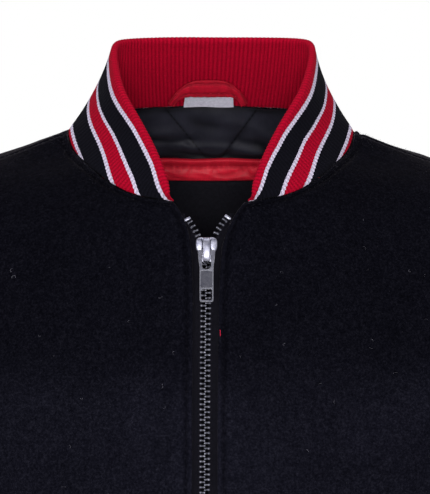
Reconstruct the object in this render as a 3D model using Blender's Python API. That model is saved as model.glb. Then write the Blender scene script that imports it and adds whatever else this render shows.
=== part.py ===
# Varsity jacket for a child of 6 to 7 years, filled out as it is worn.
# Tables and sizes are in millimetres; MM turns them into metres.
# +Z up, the front faces -Y, the wearer's left side is at +X.
# The origin lies between the two points where the shoulder seams meet the collar.
import math

import bpy
import numpy as np

for ob in list(bpy.data.objects):
    bpy.data.objects.remove(ob, do_unlink=True)

MM = 0.001
SEAM = 0.15          # each piece stops this far from a seam line, so seams are 0.3 wide
CLOTH = 2.0          # wool melton
RIB = 4.0            # rib knit folded double
LINING = 3.0         # quilted lining with its wadding
TAPE = 0.8           # woven zip tape
LAY = 0.3            # air under a piece that lies on another
NU = 8               # facets from the centre line to the side of a panel

# ---------------------------------------------------------------- tables


def rows(names, data):
    """A table with named columns."""
    a = np.array(data, float)
    return {n: a[:, k] for k, n in enumerate(names.split())}


# Collar: one row per rib line, from the front end (s 0) over the side neck point
# (s 1) to the centre back (s 2).  m = centre of the rounded fold, n = neck seam,
# dip = how far the outer face sinks below the straight line between them.
COLLAR = rows("s mx my mz nx ny nz dip", [
    (0.000, 19.0, -70.6, -33.0, 17.8, -70.0, -35.0, 0.0),
    (0.080, 20.3, -69.3, -30.2, 24.5, -66.0, -33.8, 0.0),
    (0.190, 21.6, -67.8, -27.0, 33.4, -60.0, -32.2, 0.0),
    (0.380, 24.2, -64.3, -19.3, 46.0, -49.5, -27.0, 0.2),
    (0.520, 27.5, -59.5, -11.3, 53.5, -40.0, -21.8, 0.4),
    (0.650, 31.0, -55.5,  -4.0, 59.3, -31.0, -16.6, 0.6),
    (0.780, 36.5, -49.5,   6.0, 64.6, -21.0, -12.0, 1.0),
    (0.890, 41.5, -42.5,  14.5, 68.2, -13.0,  -7.0, 1.4),
    (1.000, 45.2, -34.0,  23.0, 70.1,  -5.0,  -0.5, 1.8),
    (1.115, 47.7, -21.0,  33.5, 69.3,   5.0,   4.2, 2.0),
    (1.240, 47.8, -10.0,  40.8, 64.0,  15.0,   8.0, 1.8),
    (1.400, 42.5,  -1.0,  43.6, 53.5,  26.0,  12.0, 1.2),
    (1.600, 29.5,   8.0,  44.5, 37.0,  37.0,  14.6, 0.6),
    (1.800, 15.0,  12.3,  44.9, 19.0,  43.5,  15.8, 0.3),
    (2.000,  0.0,  14.0,  45.0,  0.0,  46.0,  16.2, 0.2),
])

# Front: one row per section, from the neck (0) past the shoulder tip (3) and the
# underarm (7) to the hem seam (12).  cy cz = centre front, ex ey ez = outer edge
# (shoulder seam, armhole, side seam), tx ty tz = way the section runs over that
# edge, kc ke = fullness at the centre and at the edge.
FRONT = rows("cy cz ex ey ez tx ty tz kc ke", [
    (-71.0,  -35.5,  70.1,  -5.0,  -0.5, 0.10, 0.92, 0.35, 0.50, 0.50),
    (-78.0,  -62.0, 100.0,  -5.0, -12.0, 0.04, 0.97, 0.20, 0.50, 0.50),
    (-84.0,  -90.0, 132.0,  -4.0, -22.6, 0.04, 0.98, 0.18, 0.52, 0.52),
    (-89.0, -120.0, 163.0,  -3.0, -34.0, 0.20, 0.97, 0.14, 0.54, 0.52),
    (-92.5, -148.0, 161.0, -34.0, -69.0, 0.50, 0.86, 0.05, 0.55, 0.50),
    (-95.0, -174.0, 153.0, -47.0, -113.0, 0.50, 0.86, 0.00, 0.56, 0.45),
    (-96.0, -200.0, 148.5, -39.0, -164.0, 0.35, 0.94, 0.00, 0.57, 0.50),
    (-96.0, -226.0, 150.0,  -5.0, -203.0, 0.00, 1.00, 0.00, 0.60, 0.58),
    (-95.5, -280.0, 151.0,  -5.0, -265.0, 0.00, 1.00, 0.00, 0.60, 0.58),
    (-94.5, -335.0, 151.0,  -5.0, -328.0, 0.00, 1.00, 0.00, 0.60, 0.58),
    (-92.5, -388.0, 150.0,  -5.0, -386.0, 0.00, 1.00, 0.00, 0.60, 0.58),
    (-88.0, -418.0, 143.0,  -5.0, -417.0, 0.00, 1.00, 0.00, 0.60, 0.58),
    (-80.0, -432.0, 131.0,  -5.0, -432.0, 0.00, 1.00, 0.00, 0.60, 0.58),
])
BACK = rows("cy cz ex ey ez tx ty tz kc ke", [
    (46.0,    16.2,  70.1,  -5.0,  -0.5, 0.10, 0.92, 0.35, 0.50, 0.50),
    (61.0,    -9.0, 100.0,  -5.0, -12.0, 0.04, 0.97, 0.20, 0.55, 0.45),
    (70.0,   -34.0, 132.0,  -4.0, -22.6, 0.04, 0.98, 0.18, 0.56, 0.48),
    (76.5,   -64.0, 163.0,  -3.0, -34.0, -0.28, 0.95, 0.02, 0.56, 0.44),
    (80.5,   -97.0, 161.5,  27.0, -69.0, -0.42, 0.90, 0.00, 0.56, 0.45),
    (83.0,  -132.0, 154.0,  42.0, -113.0, -0.50, 0.86, 0.00, 0.56, 0.45),
    (84.5,  -170.0, 149.5,  33.0, -164.0, -0.35, 0.94, 0.00, 0.57, 0.50),
    (85.0,  -208.0, 150.0,  -5.0, -203.0, 0.00, 1.00, 0.00, 0.60, 0.58),
    (85.0,  -270.0, 151.0,  -5.0, -265.0, 0.00, 1.00, 0.00, 0.60, 0.58),
    (84.5,  -331.0, 151.0,  -5.0, -328.0, 0.00, 1.00, 0.00, 0.60, 0.58),
    (83.0,  -387.0, 150.0,  -5.0, -386.0, 0.00, 1.00, 0.00, 0.60, 0.58),
    (79.0,  -418.0, 143.0,  -5.0, -417.0, 0.00, 1.00, 0.00, 0.60, 0.58),
    (71.0,  -432.0, 131.0,  -5.0, -432.0, 0.00, 1.00, 0.00, 0.60, 0.58),
])
SWAY = 1.2           # the collar's top stands this far towards the wearer's left
TIP, UNDERARM, HEM = 3.0, 7.0, 12.0
LEVELS = np.concatenate([
    np.array([0.0, 0.22, 0.5, 0.9, 1.5, 2.2]),
    np.linspace(TIP, UNDERARM, 9)[:-1],
    np.array([7.0, 8.0, 9.0, 9.9, 10.6, 11.2, 11.7, 12.0]),
])

# Centre front edge: half the width of the zip gap at each height.
GAPE = rows("z half", [
    (-482.0, 5.7), (-110.0, 5.7), (-80.0, 5.8), (-64.0, 6.1), (-56.0, 6.7),
    (-50.0, 7.8), (-46.0, 9.2), (-42.0, 11.2), (-39.0, 13.0), (-36.5, 15.4), (-35.0, 17.8),
])
# The zip does not hang quite plumb: how far its line stands off the middle.
LEAN = rows("z off", [
    (-482.0, -2.0), (-300.0, -2.8), (-172.0, -2.9), (-60.0, -2.1), (-36.0, -1.0), (0.0, 0.0),
])
# Open teeth above the slider: distance of a row of teeth from the zip line.
OPEN = rows("z x", [(-52.5, 3.5), (-50.0, 4.3), (-47.5, 5.6), (-45.0, 7.2), (-42.0, 9.4)])

# Sleeve: one row per ring below the underarm.  c = centre, ro = half width across
# (towards the side), rf = half width from front to back.
SLEEVE = rows("cx cy cz ro rf", [
    (203.0,  -5.0, -190.0, 51.5, 50.0),
    (213.5,  -6.5, -226.0, 50.0, 49.0),
    (225.0,  -9.5, -268.0, 47.0, 47.5),
    (236.5, -13.5, -310.0, 45.0, 45.5),
    (246.5, -18.0, -346.0, 43.0, 43.5),
    (253.5, -21.0, -371.0, 39.0, 39.5),
    (257.5, -22.5, -385.0, 29.0, 29.5),
])
CUFF = rows("cx cy cz ro rf", [
    (257.5, -22.5, -385.0, 29.0, 29.5),
    (259.2, -23.2, -391.0, 27.4, 27.8),
    (265.5, -26.0, -414.0, 26.6, 27.0),
    (271.5, -28.7, -436.0, 26.0, 26.4),
])
# Soft folds of the sleeve: along = ring number, turn = degrees from the outer side
# towards the front, size = height of the ridge, wide = its width in rings.
FOLDS = rows("along turn size wide", [
    (1.6, 150.0, 3.0, 0.30),
    (2.3, 120.0, 2.4, 0.28),
    (4.5, 20.0, 2.2, 0.30),
])
# Hem rib: how far below the hem seam, how much narrower, per section.
HEMRIB = rows("down scale", [(0.0, 1.0), (3.0, 0.985), (26.0, 0.965), (50.0, 0.955)])


# ---------------------------------------------------------------- curves


def smooth(x, xs, ys):
    """Curve through the rows of a table that never overshoots them."""
    x, xs, ys = (np.asarray(a, float) for a in (x, xs, ys))
    h = np.diff(xs)
    d = np.diff(ys) / h
    m = np.zeros_like(ys)
    m[0], m[-1] = d[0], d[-1]
    for k in range(1, len(xs) - 1):
        if d[k - 1] * d[k] > 0:
            w1, w2 = 2 * h[k] + h[k - 1], h[k] + 2 * h[k - 1]
            m[k] = (w1 + w2) / (w1 / d[k - 1] + w2 / d[k])
    k = np.clip(np.searchsorted(xs, x, side="right") - 1, 0, len(h) - 1)
    t = (x - xs[k]) / h[k]
    t = np.clip(t, 0.0, 1.0)
    a, b = ys[k], ys[k + 1]
    p, q = m[k] * h[k], m[k + 1] * h[k]
    return ((2 * t**3 - 3 * t**2 + 1) * a + (t**3 - 2 * t**2 + t) * p
            + (3 * t**2 - 2 * t**3) * b + (t**3 - t**2) * q)


def spline(x, xs, ys):
    """Natural cubic spline through the rows of a table."""
    x, xs, ys = (np.asarray(a, float) for a in (x, xs, ys))
    n = len(xs)
    h = np.diff(xs)
    a = np.eye(n)
    r = np.zeros(n)
    for k in range(1, n - 1):
        a[k, k - 1:k + 2] = h[k - 1], 2 * (h[k - 1] + h[k]), h[k]
        r[k] = 6 * ((ys[k + 1] - ys[k]) / h[k] - (ys[k] - ys[k - 1]) / h[k - 1])
    m = np.linalg.solve(a, r)
    k = np.clip(np.searchsorted(xs, x, side="right") - 1, 0, n - 2)
    t0, t1 = xs[k + 1] - x, x - xs[k]
    return ((m[k] * t0**3 + m[k + 1] * t1**3) / (6 * h[k])
            + (ys[k] / h[k] - m[k] * h[k] / 6) * t0 + (ys[k + 1] / h[k] - m[k + 1] * h[k] / 6) * t1)


def unit(v):
    return v / np.maximum(np.linalg.norm(v, axis=-1, keepdims=True), 1e-9)


def collar_rows(s):
    """Fold centre, neck seam and dip all round the neck; s runs 0 to 4."""
    s = np.asarray(s, float)
    t = COLLAR
    ss = np.concatenate([t["s"], 4.0 - t["s"][-2::-1]])
    out = []
    for n in ("mx", "my", "mz", "nx", "ny", "nz", "dip"):
        sign = -1.0 if n in ("mx", "nx") else 1.0
        out.append(spline(s, ss, np.concatenate([t[n], sign * t[n][-2::-1]])))
    out[0] = out[0] + SWAY * np.clip(out[2] / 45.0, 0.0, 1.0)
    return np.stack(out[:3], -1), np.stack(out[3:6], -1), out[6]


def section(tab, u, v, sign):
    """Point u (0 centre, 1 outer edge) of the body section at level v."""
    c = {n: smooth(v, np.arange(len(tab["cy"])), tab[n]) for n in tab}
    u, v = np.broadcast_arrays(np.asarray(u, float), np.asarray(v, float))
    zero = 0.0 * c["cy"]
    p0 = np.stack([zero, c["cy"], c["cz"]], -1)
    p3 = np.stack([c["ex"], c["ey"], c["ez"]], -1)
    turn = unit(np.stack([c["tx"], c["ty"], c["tz"]], -1))
    p1 = p0 + np.stack([c["kc"] * c["ex"], zero, zero], -1)
    p2 = p3 + sign * turn * (c["ke"] * np.abs(c["ey"] - c["cy"]))[..., None]
    w = u[..., None]
    return (1 - w)**3 * p0 + 3 * w * (1 - w)**2 * p1 + 3 * w**2 * (1 - w) * p2 + w**3 * p3


def fade(v, end=2.0):
    q = np.clip(np.asarray(v, float) / end, 0.0, 1.0)
    return 1 - 3 * q**2 + 2 * q**3


def start_u(v):
    """Where a front section begins, at the edge of the zip gap."""
    us = np.linspace(0.0, 0.5, 201)
    x = section(FRONT, us, np.full_like(us, v), -1)[:, 0]
    z = float(smooth(v, np.arange(13), FRONT["cz"]))
    return float(np.interp(float(smooth(z, GAPE["z"], GAPE["half"])), x, us))


U0 = {}


def front_at(t, v):
    """Front cloth: t 0 at the centre front edge, 1 at the outer edge (may be < 0)."""
    key = round(float(v), 6)
    if key not in U0:
        U0[key] = start_u(key)
    if 0.0 not in U0:
        U0[0.0] = start_u(0.0)
    t = np.asarray(t, float)
    vv = np.full_like(t, v)
    p = section(FRONT, U0[key] + (1 - U0[key]) * t, vv, -1)
    tc = np.clip(t, 0.0, 1.0)
    neck = collar_rows(tc)[1]
    base = section(FRONT, U0[0.0] + (1 - U0[0.0]) * tc, np.zeros_like(t), -1)
    return p + fade(v) * (neck - base)


def back_at(t, v):
    """Back cloth: t 0 at the centre back, 1 at the outer edge, x > 0 side."""
    t = np.asarray(t, float)
    p = section(BACK, t, np.full_like(t, v), 1)
    neck = collar_rows(2.0 - t)[1]
    base = section(BACK, t, np.zeros_like(t), 1)
    return p + fade(v) * (neck - base)


def lean(p):
    """Moves the strip along the zip sideways to the line it hangs on."""
    p = np.array(p, float)
    off = smooth(p[..., 2], LEAN["z"], LEAN["off"])
    q = np.clip(1 - (p[..., 0] / 75.0)**2, 0.0, 1.0)**2
    f = np.clip((-20.0 - p[..., 1]) / 25.0, 0.0, 1.0)
    p[..., 0] += off * q * (3 * f**2 - 2 * f**3)
    return p


# ---------------------------------------------------------------- solids


def grid_normals(p, wrap=False):
    if wrap:
        du = np.roll(p, -1, 1) - np.roll(p, 1, 1)
    else:
        du = np.gradient(p, axis=1)
    return unit(np.cross(np.gradient(p, axis=0), du))


def solid(name, out, inn, wrap, mat, smooth_deg=50.0):
    """Closed wall between an outer and an inner grid of points."""
    n, m = out.shape[:2]
    verts = np.concatenate([out.reshape(-1, 3), inn.reshape(-1, 3)])
    off = n * m
    faces = []
    mm = m if wrap else m - 1
    for i in range(n - 1):
        for j in range(mm):
            a, b = i * m + j, i * m + (j + 1) % m
            c, d = a + m, b + m
            faces.append((a, b, d, c))
            faces.append((off + a, off + c, off + d, off + b))
    for j in range(mm):
        a, b = j, (j + 1) % m
        faces.append((a, off + a, off + b, b))
        c, d = a + (n - 1) * m, b + (n - 1) * m
        faces.append((c, d, off + d, off + c))
    if not wrap:
        for i in range(n - 1):
            a, c = i * m, (i + 1) * m
            faces.append((a, c, off + c, off + a))
            b, d = a + m - 1, c + m - 1
            faces.append((b, off + b, off + d, d))
    return body(name, verts, faces, mat, smooth_deg)


def body(name, verts, faces, mat, smooth_deg=50.0):
    """Mesh object from points in mm, turned to face outwards."""
    v = np.asarray(verts, float) * MM
    vol = 0.0
    for f in faces:
        for k in range(1, len(f) - 1):
            vol += float(np.dot(v[f[0]], np.cross(v[f[k]], v[f[k + 1]])))
    if vol < 0:
        faces = [tuple(reversed(f)) for f in faces]
    me = bpy.data.meshes.new(name)
    me.from_pydata(v.tolist(), [], faces)
    me.materials.append(mat)
    me.shade_smooth()
    me.set_sharp_from_angle(angle=math.radians(smooth_deg))
    ob = bpy.data.objects.new(name, me)
    bpy.context.scene.collection.objects.link(ob)
    return ob


def material(name, rgb, rough, metal=0.0):
    m = bpy.data.materials.new(name)
    m.use_nodes = True
    b = m.node_tree.nodes["Principled BSDF"]
    b.inputs["Base Color"].default_value = (*rgb, 1.0)
    b.inputs["Roughness"].default_value = rough
    b.inputs["Metallic"].default_value = metal
    return m


WOOL = (0.008, 0.008, 0.011)
RED = (0.28, 0.010, 0.028)
BLACK = (0.008, 0.008, 0.010)
STEEL = (0.33, 0.33, 0.36)


def pull(p, axis, first, amount=SEAM):
    """Draws one edge of a grid back along the cloth."""
    p = np.moveaxis(np.array(p), axis, 0)
    if first:
        p[0] += unit(p[1] - p[0]) * amount
    else:
        p[-1] += unit(p[-2] - p[-1]) * amount
    return np.moveaxis(p, 0, axis)


def inner(p, n, thick, edges=()):
    """Second face of a wall; edges = (index, common normals) keep seams in line."""
    q = p - n * thick
    for idx, nn in edges:
        c = np.clip(np.sum(nn * n[idx], -1, keepdims=True), 0.5, 1.0)
        q[idx] = p[idx] - nn * thick / c
    return q


def shared(na, nb, da):
    """Seam normals of two pieces: in line over a ridge, each its own in a valley.
    da = direction from the seam into the first piece."""
    ridge = (np.sum(nb * unit(da), -1, keepdims=True) < 0.02)
    both = unit(na + nb)
    return np.where(ridge, both, na), np.where(ridge, both, nb)


ts = np.linspace(0.0, 1.0, NU + 1)
NL = len(LEVELS)
I_TIP = int(np.argmin(np.abs(LEVELS - TIP)))
I_ARM = int(np.argmin(np.abs(LEVELS - UNDERARM)))

FG = np.stack([front_at(ts, v) for v in LEVELS])              # x > 0 front
BH = np.stack([back_at(ts, v) for v in LEVELS])               # x > 0 half back
FN = grid_normals(FG)
BHN = -grid_normals(BH)
if FN[NL // 2, 2, 1] > 0:
    FN = -FN
if BHN[NL // 2, 2, 1] < 0:
    BHN = -BHN
BHN[:, 0, 0] = 0.0
BHN = unit(BHN)

# ---- sleeve rings (x > 0): number 0 is the armhole, taken from the panel edges
NM = 2 * (I_ARM - I_TIP)
hole = np.concatenate([FG[I_TIP:I_ARM + 1, -1], BH[I_ARM - 1:I_TIP:-1, -1]])
hole_panel_n = np.concatenate([FN[I_TIP:I_ARM + 1, -1], BHN[I_ARM - 1:I_TIP:-1, -1]])
hole_panel_n[0] = unit(FN[I_TIP, -1] + BHN[I_TIP, -1])
hole_panel_n[NM // 2] = unit(FN[I_ARM, -1] + BHN[I_ARM, -1])
phi = 2 * np.pi * np.arange(NM) / NM


def ring(tab, k, turn=phi, folds=None):
    """Ring k of a sleeve or cuff, square to its centre line."""
    k = float(k)
    idx = np.arange(len(tab["cx"]))
    c = np.array([float(spline(k, idx, tab[n])) for n in ("cx", "cy", "cz")])
    k0, k1 = max(k - 0.05, 0.0), min(k + 0.05, idx[-1])
    d = np.array([float(spline(k1, idx, tab[n]) - spline(k0, idx, tab[n])) for n in ("cx", "cy", "cz")])
    axis = unit(d)
    across = unit(np.array([1.0, 0.0, 0.0]) - axis * axis[0])
    fwd = np.cross(across, axis)
    if fwd[1] > 0:
        fwd = -fwd
    ro = float(smooth(k, idx, tab["ro"]))
    rf = float(smooth(k, idx, tab["rf"]))
    add = 0.0 * turn
    if folds is not None:
        for a, t, s, w in zip(folds["along"], folds["turn"], folds["size"], folds["wide"]):
            da = np.angle(np.exp(1j * (turn - math.radians(t))))
            add = add + s * math.exp(-((k - a) / w)**2) * np.exp(-(da / 0.9)**2)
    return c + (np.cos(turn) * (ro + add))[:, None] * across + (np.sin(turn) * (rf + add))[:, None] * fwd, axis


bicep, axis0 = ring(SLEEVE, 0.0)
out_dir = unit(np.array([0.95, 0.0, -0.30]))
high = (1 + np.cos(phi)) / 2
start_len = 14.0 + 150.0 * high**1.2
end_len = 18.0 + 120.0 * high
start_dir = unit(out_dir + np.outer(high, [0.0, 0.0, -0.10]) + np.outer(1 - high, [0.0, 0.0, -0.5]))
rings = []
for w in (0.0, 0.16, 0.34, 0.53, 0.76):
    a = (2 * w**3 - 3 * w**2 + 1) * hole + (3 * w**2 - 2 * w**3) * bicep
    a = a + (w**3 - 2 * w**2 + w) * start_dir * start_len[:, None] + (w**3 - w**2) * axis0 * end_len[:, None]
    rings.append(a)
for k in (0.0, 0.8, 1.6, 2.3, 3.1, 3.9, 4.6, 5.1, 5.6, 6.0):
    rings.append(ring(SLEEVE, k, folds=FOLDS)[0])
SG = np.stack(rings)
SN = grid_normals(SG, wrap=True)
if SN[8, 0, 0] < 0:
    SN = -SN
hole_in = np.concatenate([FG[I_TIP:I_ARM + 1, -2], BH[I_ARM - 1:I_TIP:-1, -2]])
hole_in[NM // 2] = FG[min(I_ARM + 1, NL - 1), -1]
hole_in[0] = FG[I_TIP - 1, -1]
hole_n, hole_s = shared(hole_panel_n, SN[0], hole_in - hole)

CG = np.stack([ring(CUFF, k)[0] for k in (0.0, 1.0, 2.0, 3.0)])
CG[0] = SG[-1]
CN = grid_normals(CG, wrap=True)
if CN[1, 0, 0] < 0:
    CN = -CN
wrist_n, wrist_c = shared(SN[-1], CN[0], SG[-2] - SG[-1])

# ---- hem rib: runs from the zip edge all round to the other zip edge
loop = np.concatenate([FG[-1], BH[-1, -2::-1], BH[-1, 1:-1] * [-1, 1, 1], FG[-1, ::-1] * [-1, 1, 1]])
loop_n = np.concatenate([FN[-1], BHN[-1, -2::-1], BHN[-1, 1:-1] * [-1, 1, 1], FN[-1, ::-1] * [-1, 1, 1]])


def hem_row(k):
    sc = float(smooth(k, np.arange(4), HEMRIB["scale"]))
    p = loop.copy()
    p[:, 1] = (p[:, 1] + 4.5) * sc - 4.5
    side = np.clip(np.abs(loop[:, 0]) / 131.0, 0, 1)
    p[:, 0] *= 1 - (1 - sc) * np.clip((np.abs(loop[:, 0]) - 6.0) / 60.0, 0, 1)
    p[:, 2] -= float(smooth(k, np.arange(4), HEMRIB["down"])) + 0.0 * side
    return p


HG = np.stack([hem_row(k) for k in (0.0, 1.0, 2.0, 3.0)])
HN = grid_normals(HG)
if HN[2, 2, 1] > 0:
    HN = -HN
loop_in = np.concatenate([FG[-2], BH[-2, -2::-1], BH[-2, 1:-1] * [-1, 1, 1], FG[-2, ::-1] * [-1, 1, 1]])
hem_n, hem_r = shared(loop_n, HN[0], loop_in - loop)

# ---- collar: outer and inner face with the rounded fold between them
NS = 4 * NU
cs = np.linspace(0.0, 4.0, NS + 1)
CM, CS, CDIP = collar_rows(cs)
along = unit(np.gradient(CM + CS, axis=0))
ribdir = unit(CS - CM)
cn = unit(np.cross(along, ribdir))
if cn[NS // 2, 1] < 0:
    cn = -cn
r = RIB / 2
taus = np.array([1.0, 0.92, 0.72, 0.48, 0.24, 0.0])
top = CM + cn * r
cout, cinn = [], []
for k, w in enumerate(taus):
    p = top * (1 - w) + CS * w - cn * (CDIP * 4 * w * (1 - w))[:, None]
    if k == 0:
        p = p - ribdir * SEAM
    cout.append(p)
    cinn.append(p - cn * RIB)
for a in (0.6, 1.25):
    cout.append(CM + cn * r * math.cos(a) - ribdir * r * math.sin(a))
    cinn.append(CM - cn * r * math.cos(a) - ribdir * r * math.sin(a))
cout, cinn = np.stack(cout, 1), np.stack(cinn, 1)

# neck seam normals shared by the collar and the panels
neck_panel_n = np.concatenate([FN[0], BHN[0, -2::-1], BHN[0, 1:] * [-1, 1, 1], FN[0, -2::-1] * [-1, 1, 1]])
neck_panel_n[NU] = unit(FN[0, -1] + BHN[0, -1])
neck_panel_n[3 * NU] = neck_panel_n[NU] * [-1, 1, 1]
neck_in = np.concatenate([FG[1], BH[1, -2::-1], BH[1, 1:] * [-1, 1, 1], FG[1, -2::-1] * [-1, 1, 1]])
neck_n, neck_c = shared(neck_panel_n, cn, neck_in - CS)
cc = np.clip(np.sum(neck_c * cn, -1, keepdims=True), 0.5, 1.0)
cinn[:, 0] = cout[:, 0] - neck_c * RIB / cc


# ---------------------------------------------------------------- cloth pieces

mirror = np.array([-1.0, 1.0, 1.0])
wool = material("wool_melton", WOOL, 0.95)

edge_fb = unit(FN[:, -1] + BHN[:, -1])
edge_fb[I_TIP + 1:I_ARM] = hole_n[1:NM // 2]
edge_fb[I_TIP], edge_fb[I_ARM] = hole_n[0], hole_n[NM // 2]
f = pull(pull(pull(FG, 1, False), 0, True), 0, False)
fi = inner(f, FN, CLOTH, [((slice(None), -1), edge_fb), ((0,), neck_n[:NU + 1]), ((-1,), hem_n[:NU + 1])])
for side, name in ((1, "front_left"), (-1, "front_right")):
    mk = np.array([side, 1.0, 1.0])
    solid(name, lean(f * mk), lean(fi * mk), False, wool)

BG = np.concatenate([BH[:, ::-1], BH[:, 1:] * mirror], 1)
BN = np.concatenate([BHN[:, ::-1], BHN[:, 1:] * mirror], 1)
edge_b = unit(FN[:, -1] + BHN[:, -1])
edge_b[I_TIP + 1:I_ARM] = hole_n[:NM // 2:-1]
edge_b[I_TIP], edge_b[I_ARM] = hole_n[0], hole_n[NM // 2]
b = pull(pull(pull(pull(BG, 1, False), 1, True), 0, True), 0, False)
bi = inner(b, BN, CLOTH, [((slice(None), 0), edge_b), ((slice(None), -1), edge_b * mirror),
                          ((0,), neck_n[NU:3 * NU + 1]), ((-1,), hem_n[NU:3 * NU + 1])])
solid("back", b, bi, False, wool)

s = pull(pull(SG, 0, True), 0, False)
si = inner(s, SN, CLOTH, [((0,), hole_s), ((-1,), wrist_n)])
c = pull(CG, 0, True)
ci = inner(c, CN, RIB, [((0,), wrist_c)])
h = pull(HG, 0, True)
hi = inner(h, HN, RIB, [((0,), hem_r)])
for side, end in ((1, "left"), (-1, "right")):
    mk = np.array([side, 1.0, 1.0])
    solid("sleeve_" + end, s * mk, si * mk, True, wool)
    solid("cuff_" + end, c * mk, ci * mk, True, material("cuff_rib_" + end, RED, 0.9))
solid("hem_rib", lean(h), lean(hi), False, material("hem_rib_knit", RED, 0.9))
solid("collar", cout, cinn, False, material("collar_rib", RED, 0.9))

# ---------------------------------------------------------------- inside the neck

def facet(p, n, i, j):
    """Point and normal of a grid at a fractional row and column, on its facets."""
    a, b_ = int(min(math.floor(i), len(p) - 2)), int(min(max(math.floor(j), 0), p.shape[1] - 2))
    u, v = i - a, j - b_
    w = [((1 - u) * (1 - v), a, b_), ((1 - u) * v, a, b_ + 1), (u * (1 - v), a + 1, b_), (u * v, a + 1, b_ + 1)]
    return sum(k * p[x, y] for k, x, y in w), unit(sum(k * n[x, y] for k, x, y in w))


def layer(p, n, ii, jj, depth, thick):
    """A piece laid behind a grid: rows ii and columns jj, depth below its face."""
    q = [[facet(p, n, i, j) for j in jj] for i in ii]
    pt = np.array([[x[0] for x in r_] for r_ in q])
    nn = np.array([[x[1] for x in r_] for r_ in q])
    return pt - nn * depth, pt - nn * (depth + thick)


# back lining: the back panel's own points moved inwards
lay = CLOTH + LAY
lj = list(range(1, 2 * NU))
li = list(range(1, NL - 1))
a, b2 = layer(BG, BN, li, lj, lay, LINING)
solid("back_lining", a, b2, False, material("quilted_satin", (0.018, 0.018, 0.022), 0.4))

# neck patch and the satin band along its top, laid on the lining
BAND_TOP, BAND_BOTTOM, PATCH_BOTTOM, PATCH_HALF = -11.6, -23.0, -92.0, 56.0
mid_z = BG[:, NU, 2]


def patch(name, z0, z1, half, depth, thick, mat):
    i0 = float(np.interp(-z0, -mid_z, np.arange(NL)))
    i1 = float(np.interp(-z1, -mid_z, np.arange(NL)))
    ii = [i0] + [k for k in range(NL) if i0 + 0.05 < k < i1 - 0.05] + [i1]
    out_, inn_ = [], []
    for i in ii:
        xs = np.array([facet(BG, BN, i, j)[0][0] for j in range(2 * NU + 1)])
        ja = float(np.interp(-half, -xs, np.arange(2 * NU + 1)))
        jb = float(np.interp(half, -xs, np.arange(2 * NU + 1)))
        lo_ = int(math.ceil(np.interp(-half, -BG[NL // 2, :, 0], np.arange(2 * NU + 1)) + 0.3))
        jj = [ja] + [k for k in range(lo_, 2 * NU - lo_ + 1)] + [jb]
        p_, q_ = layer(BG, BN, [i], jj, depth, thick)
        out_.append(p_[0])
        inn_.append(q_[0])
    solid(name, np.array(out_), np.array(inn_), False, mat)


on_lining = lay + LINING + LAY
patch("patch_band", BAND_TOP, BAND_BOTTOM, PATCH_HALF, on_lining, 1.0,
      material("red_satin", (0.35, 0.012, 0.03), 0.35))
patch("neck_patch", BAND_BOTTOM - 0.5, PATCH_BOTTOM, PATCH_HALF, on_lining, 1.0,
      material("patch_cloth", (0.007, 0.007, 0.009), 0.7))


def collar_inside(s_, w, off):
    """Point in front of the collar's inner face: w 0 at the fold, 1 at the seam."""
    m, n, dip = collar_rows(s_)
    m2, n2, _ = collar_rows(np.asarray(s_) + 0.02)
    rd = unit(n - m)
    nn = unit(np.cross(unit((m2 + n2) - (m + n)), rd))
    nn = np.where(nn[..., 1:2] < 0, -nn, nn)
    w = np.broadcast_to(np.asarray(w, float), dip.shape)
    p = (m + nn * r) * (1 - w)[..., None] + n * w[..., None] - nn * (dip * 4 * w * (1 - w))[..., None]
    return p - nn * (RIB + off)


def on_collar(x, z, off):
    """Point in front of the collar's inner face at the back, from x and height."""
    return collar_inside(2.0 - x / 96.8, (43.6 - z) / 30.2, off)


# hanger loop: a strip bowed into an arch, both ends in the neck seam
LOOP_HALF, LOOP_THICK, LOOP_FOOT = 20.2, 0.9, 15.6
q = np.linspace(-1.0, 1.0, 13)
face = unit(np.array([0.0, -0.72, -0.69]))
rise = (0.9 + 1.5 * (1 - np.abs(q)**2.5))[:, None]
g = []
for w in (0.0, 0.5, 1.0):
    x = q * (LOOP_HALF - 3.4 * (1 - w))
    z = LOOP_FOOT + (3.0 + 6.4 * w) * (1 - np.abs(q)**3.0)
    z = z + 0.9 * w * np.abs(q)**3.0
    g.append(on_collar(x - 1.0, z, 0.0) + face * (rise + 0.25 * math.sin(math.pi * w)))
g = np.stack(g)
solid("hanger_loop", g + face * LOOP_THICK, g, False, material("loop_satin", (0.33, 0.012, 0.03), 0.4))

# size label under the loop
LABEL_HALF = 13.3
q = np.linspace(-1.0, 1.0, 7)
g = np.stack([on_collar(q * LABEL_HALF - 1.4, z + 0 * q, 0.75) for z in (14.2, 17.0, 19.6)])
solid("size_label", g + face * 0.3, g, False, material("label_cloth", (0.55, 0.55, 0.62), 0.8))

# ---------------------------------------------------------------- zip

# front cloth and hem rib in one grid, so that the zip lies behind their facets
ZP = np.concatenate([FG, HG[1:, :NU + 1]])
ZN = np.concatenate([FN, HN[1:, :NU + 1]])


def behind(x, z, depth):
    """Point at a depth behind the facets of the front, at x >= 0 and height z."""
    i = float(np.interp(-z, -ZP[:, 0, 2], np.arange(len(ZP))))
    for _ in range(5):
        xa, xb = facet(ZP, ZN, i, 0.0)[0][0], facet(ZP, ZN, i, 1.0)[0][0]
        p, n = facet(ZP, ZN, i, (x - xa) / (xb - xa))
        err = float(np.interp(-z, -ZP[:, 0, 2], np.arange(len(ZP)))) - float(
            np.interp(-p[2], -ZP[:, 0, 2], np.arange(len(ZP))))
        i = float(np.clip(i + err, 0.0, len(ZP) - 1.0))
    n = unit(np.array([0.0, n[1], n[2]]))
    return p - n * depth, n


def gape(z):
    return float(smooth(z, GAPE["z"], GAPE["half"]))


def teeth_x(z):
    return float(smooth(z, OPEN["z"], OPEN["x"])) if z > -52.5 else 3.5


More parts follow.
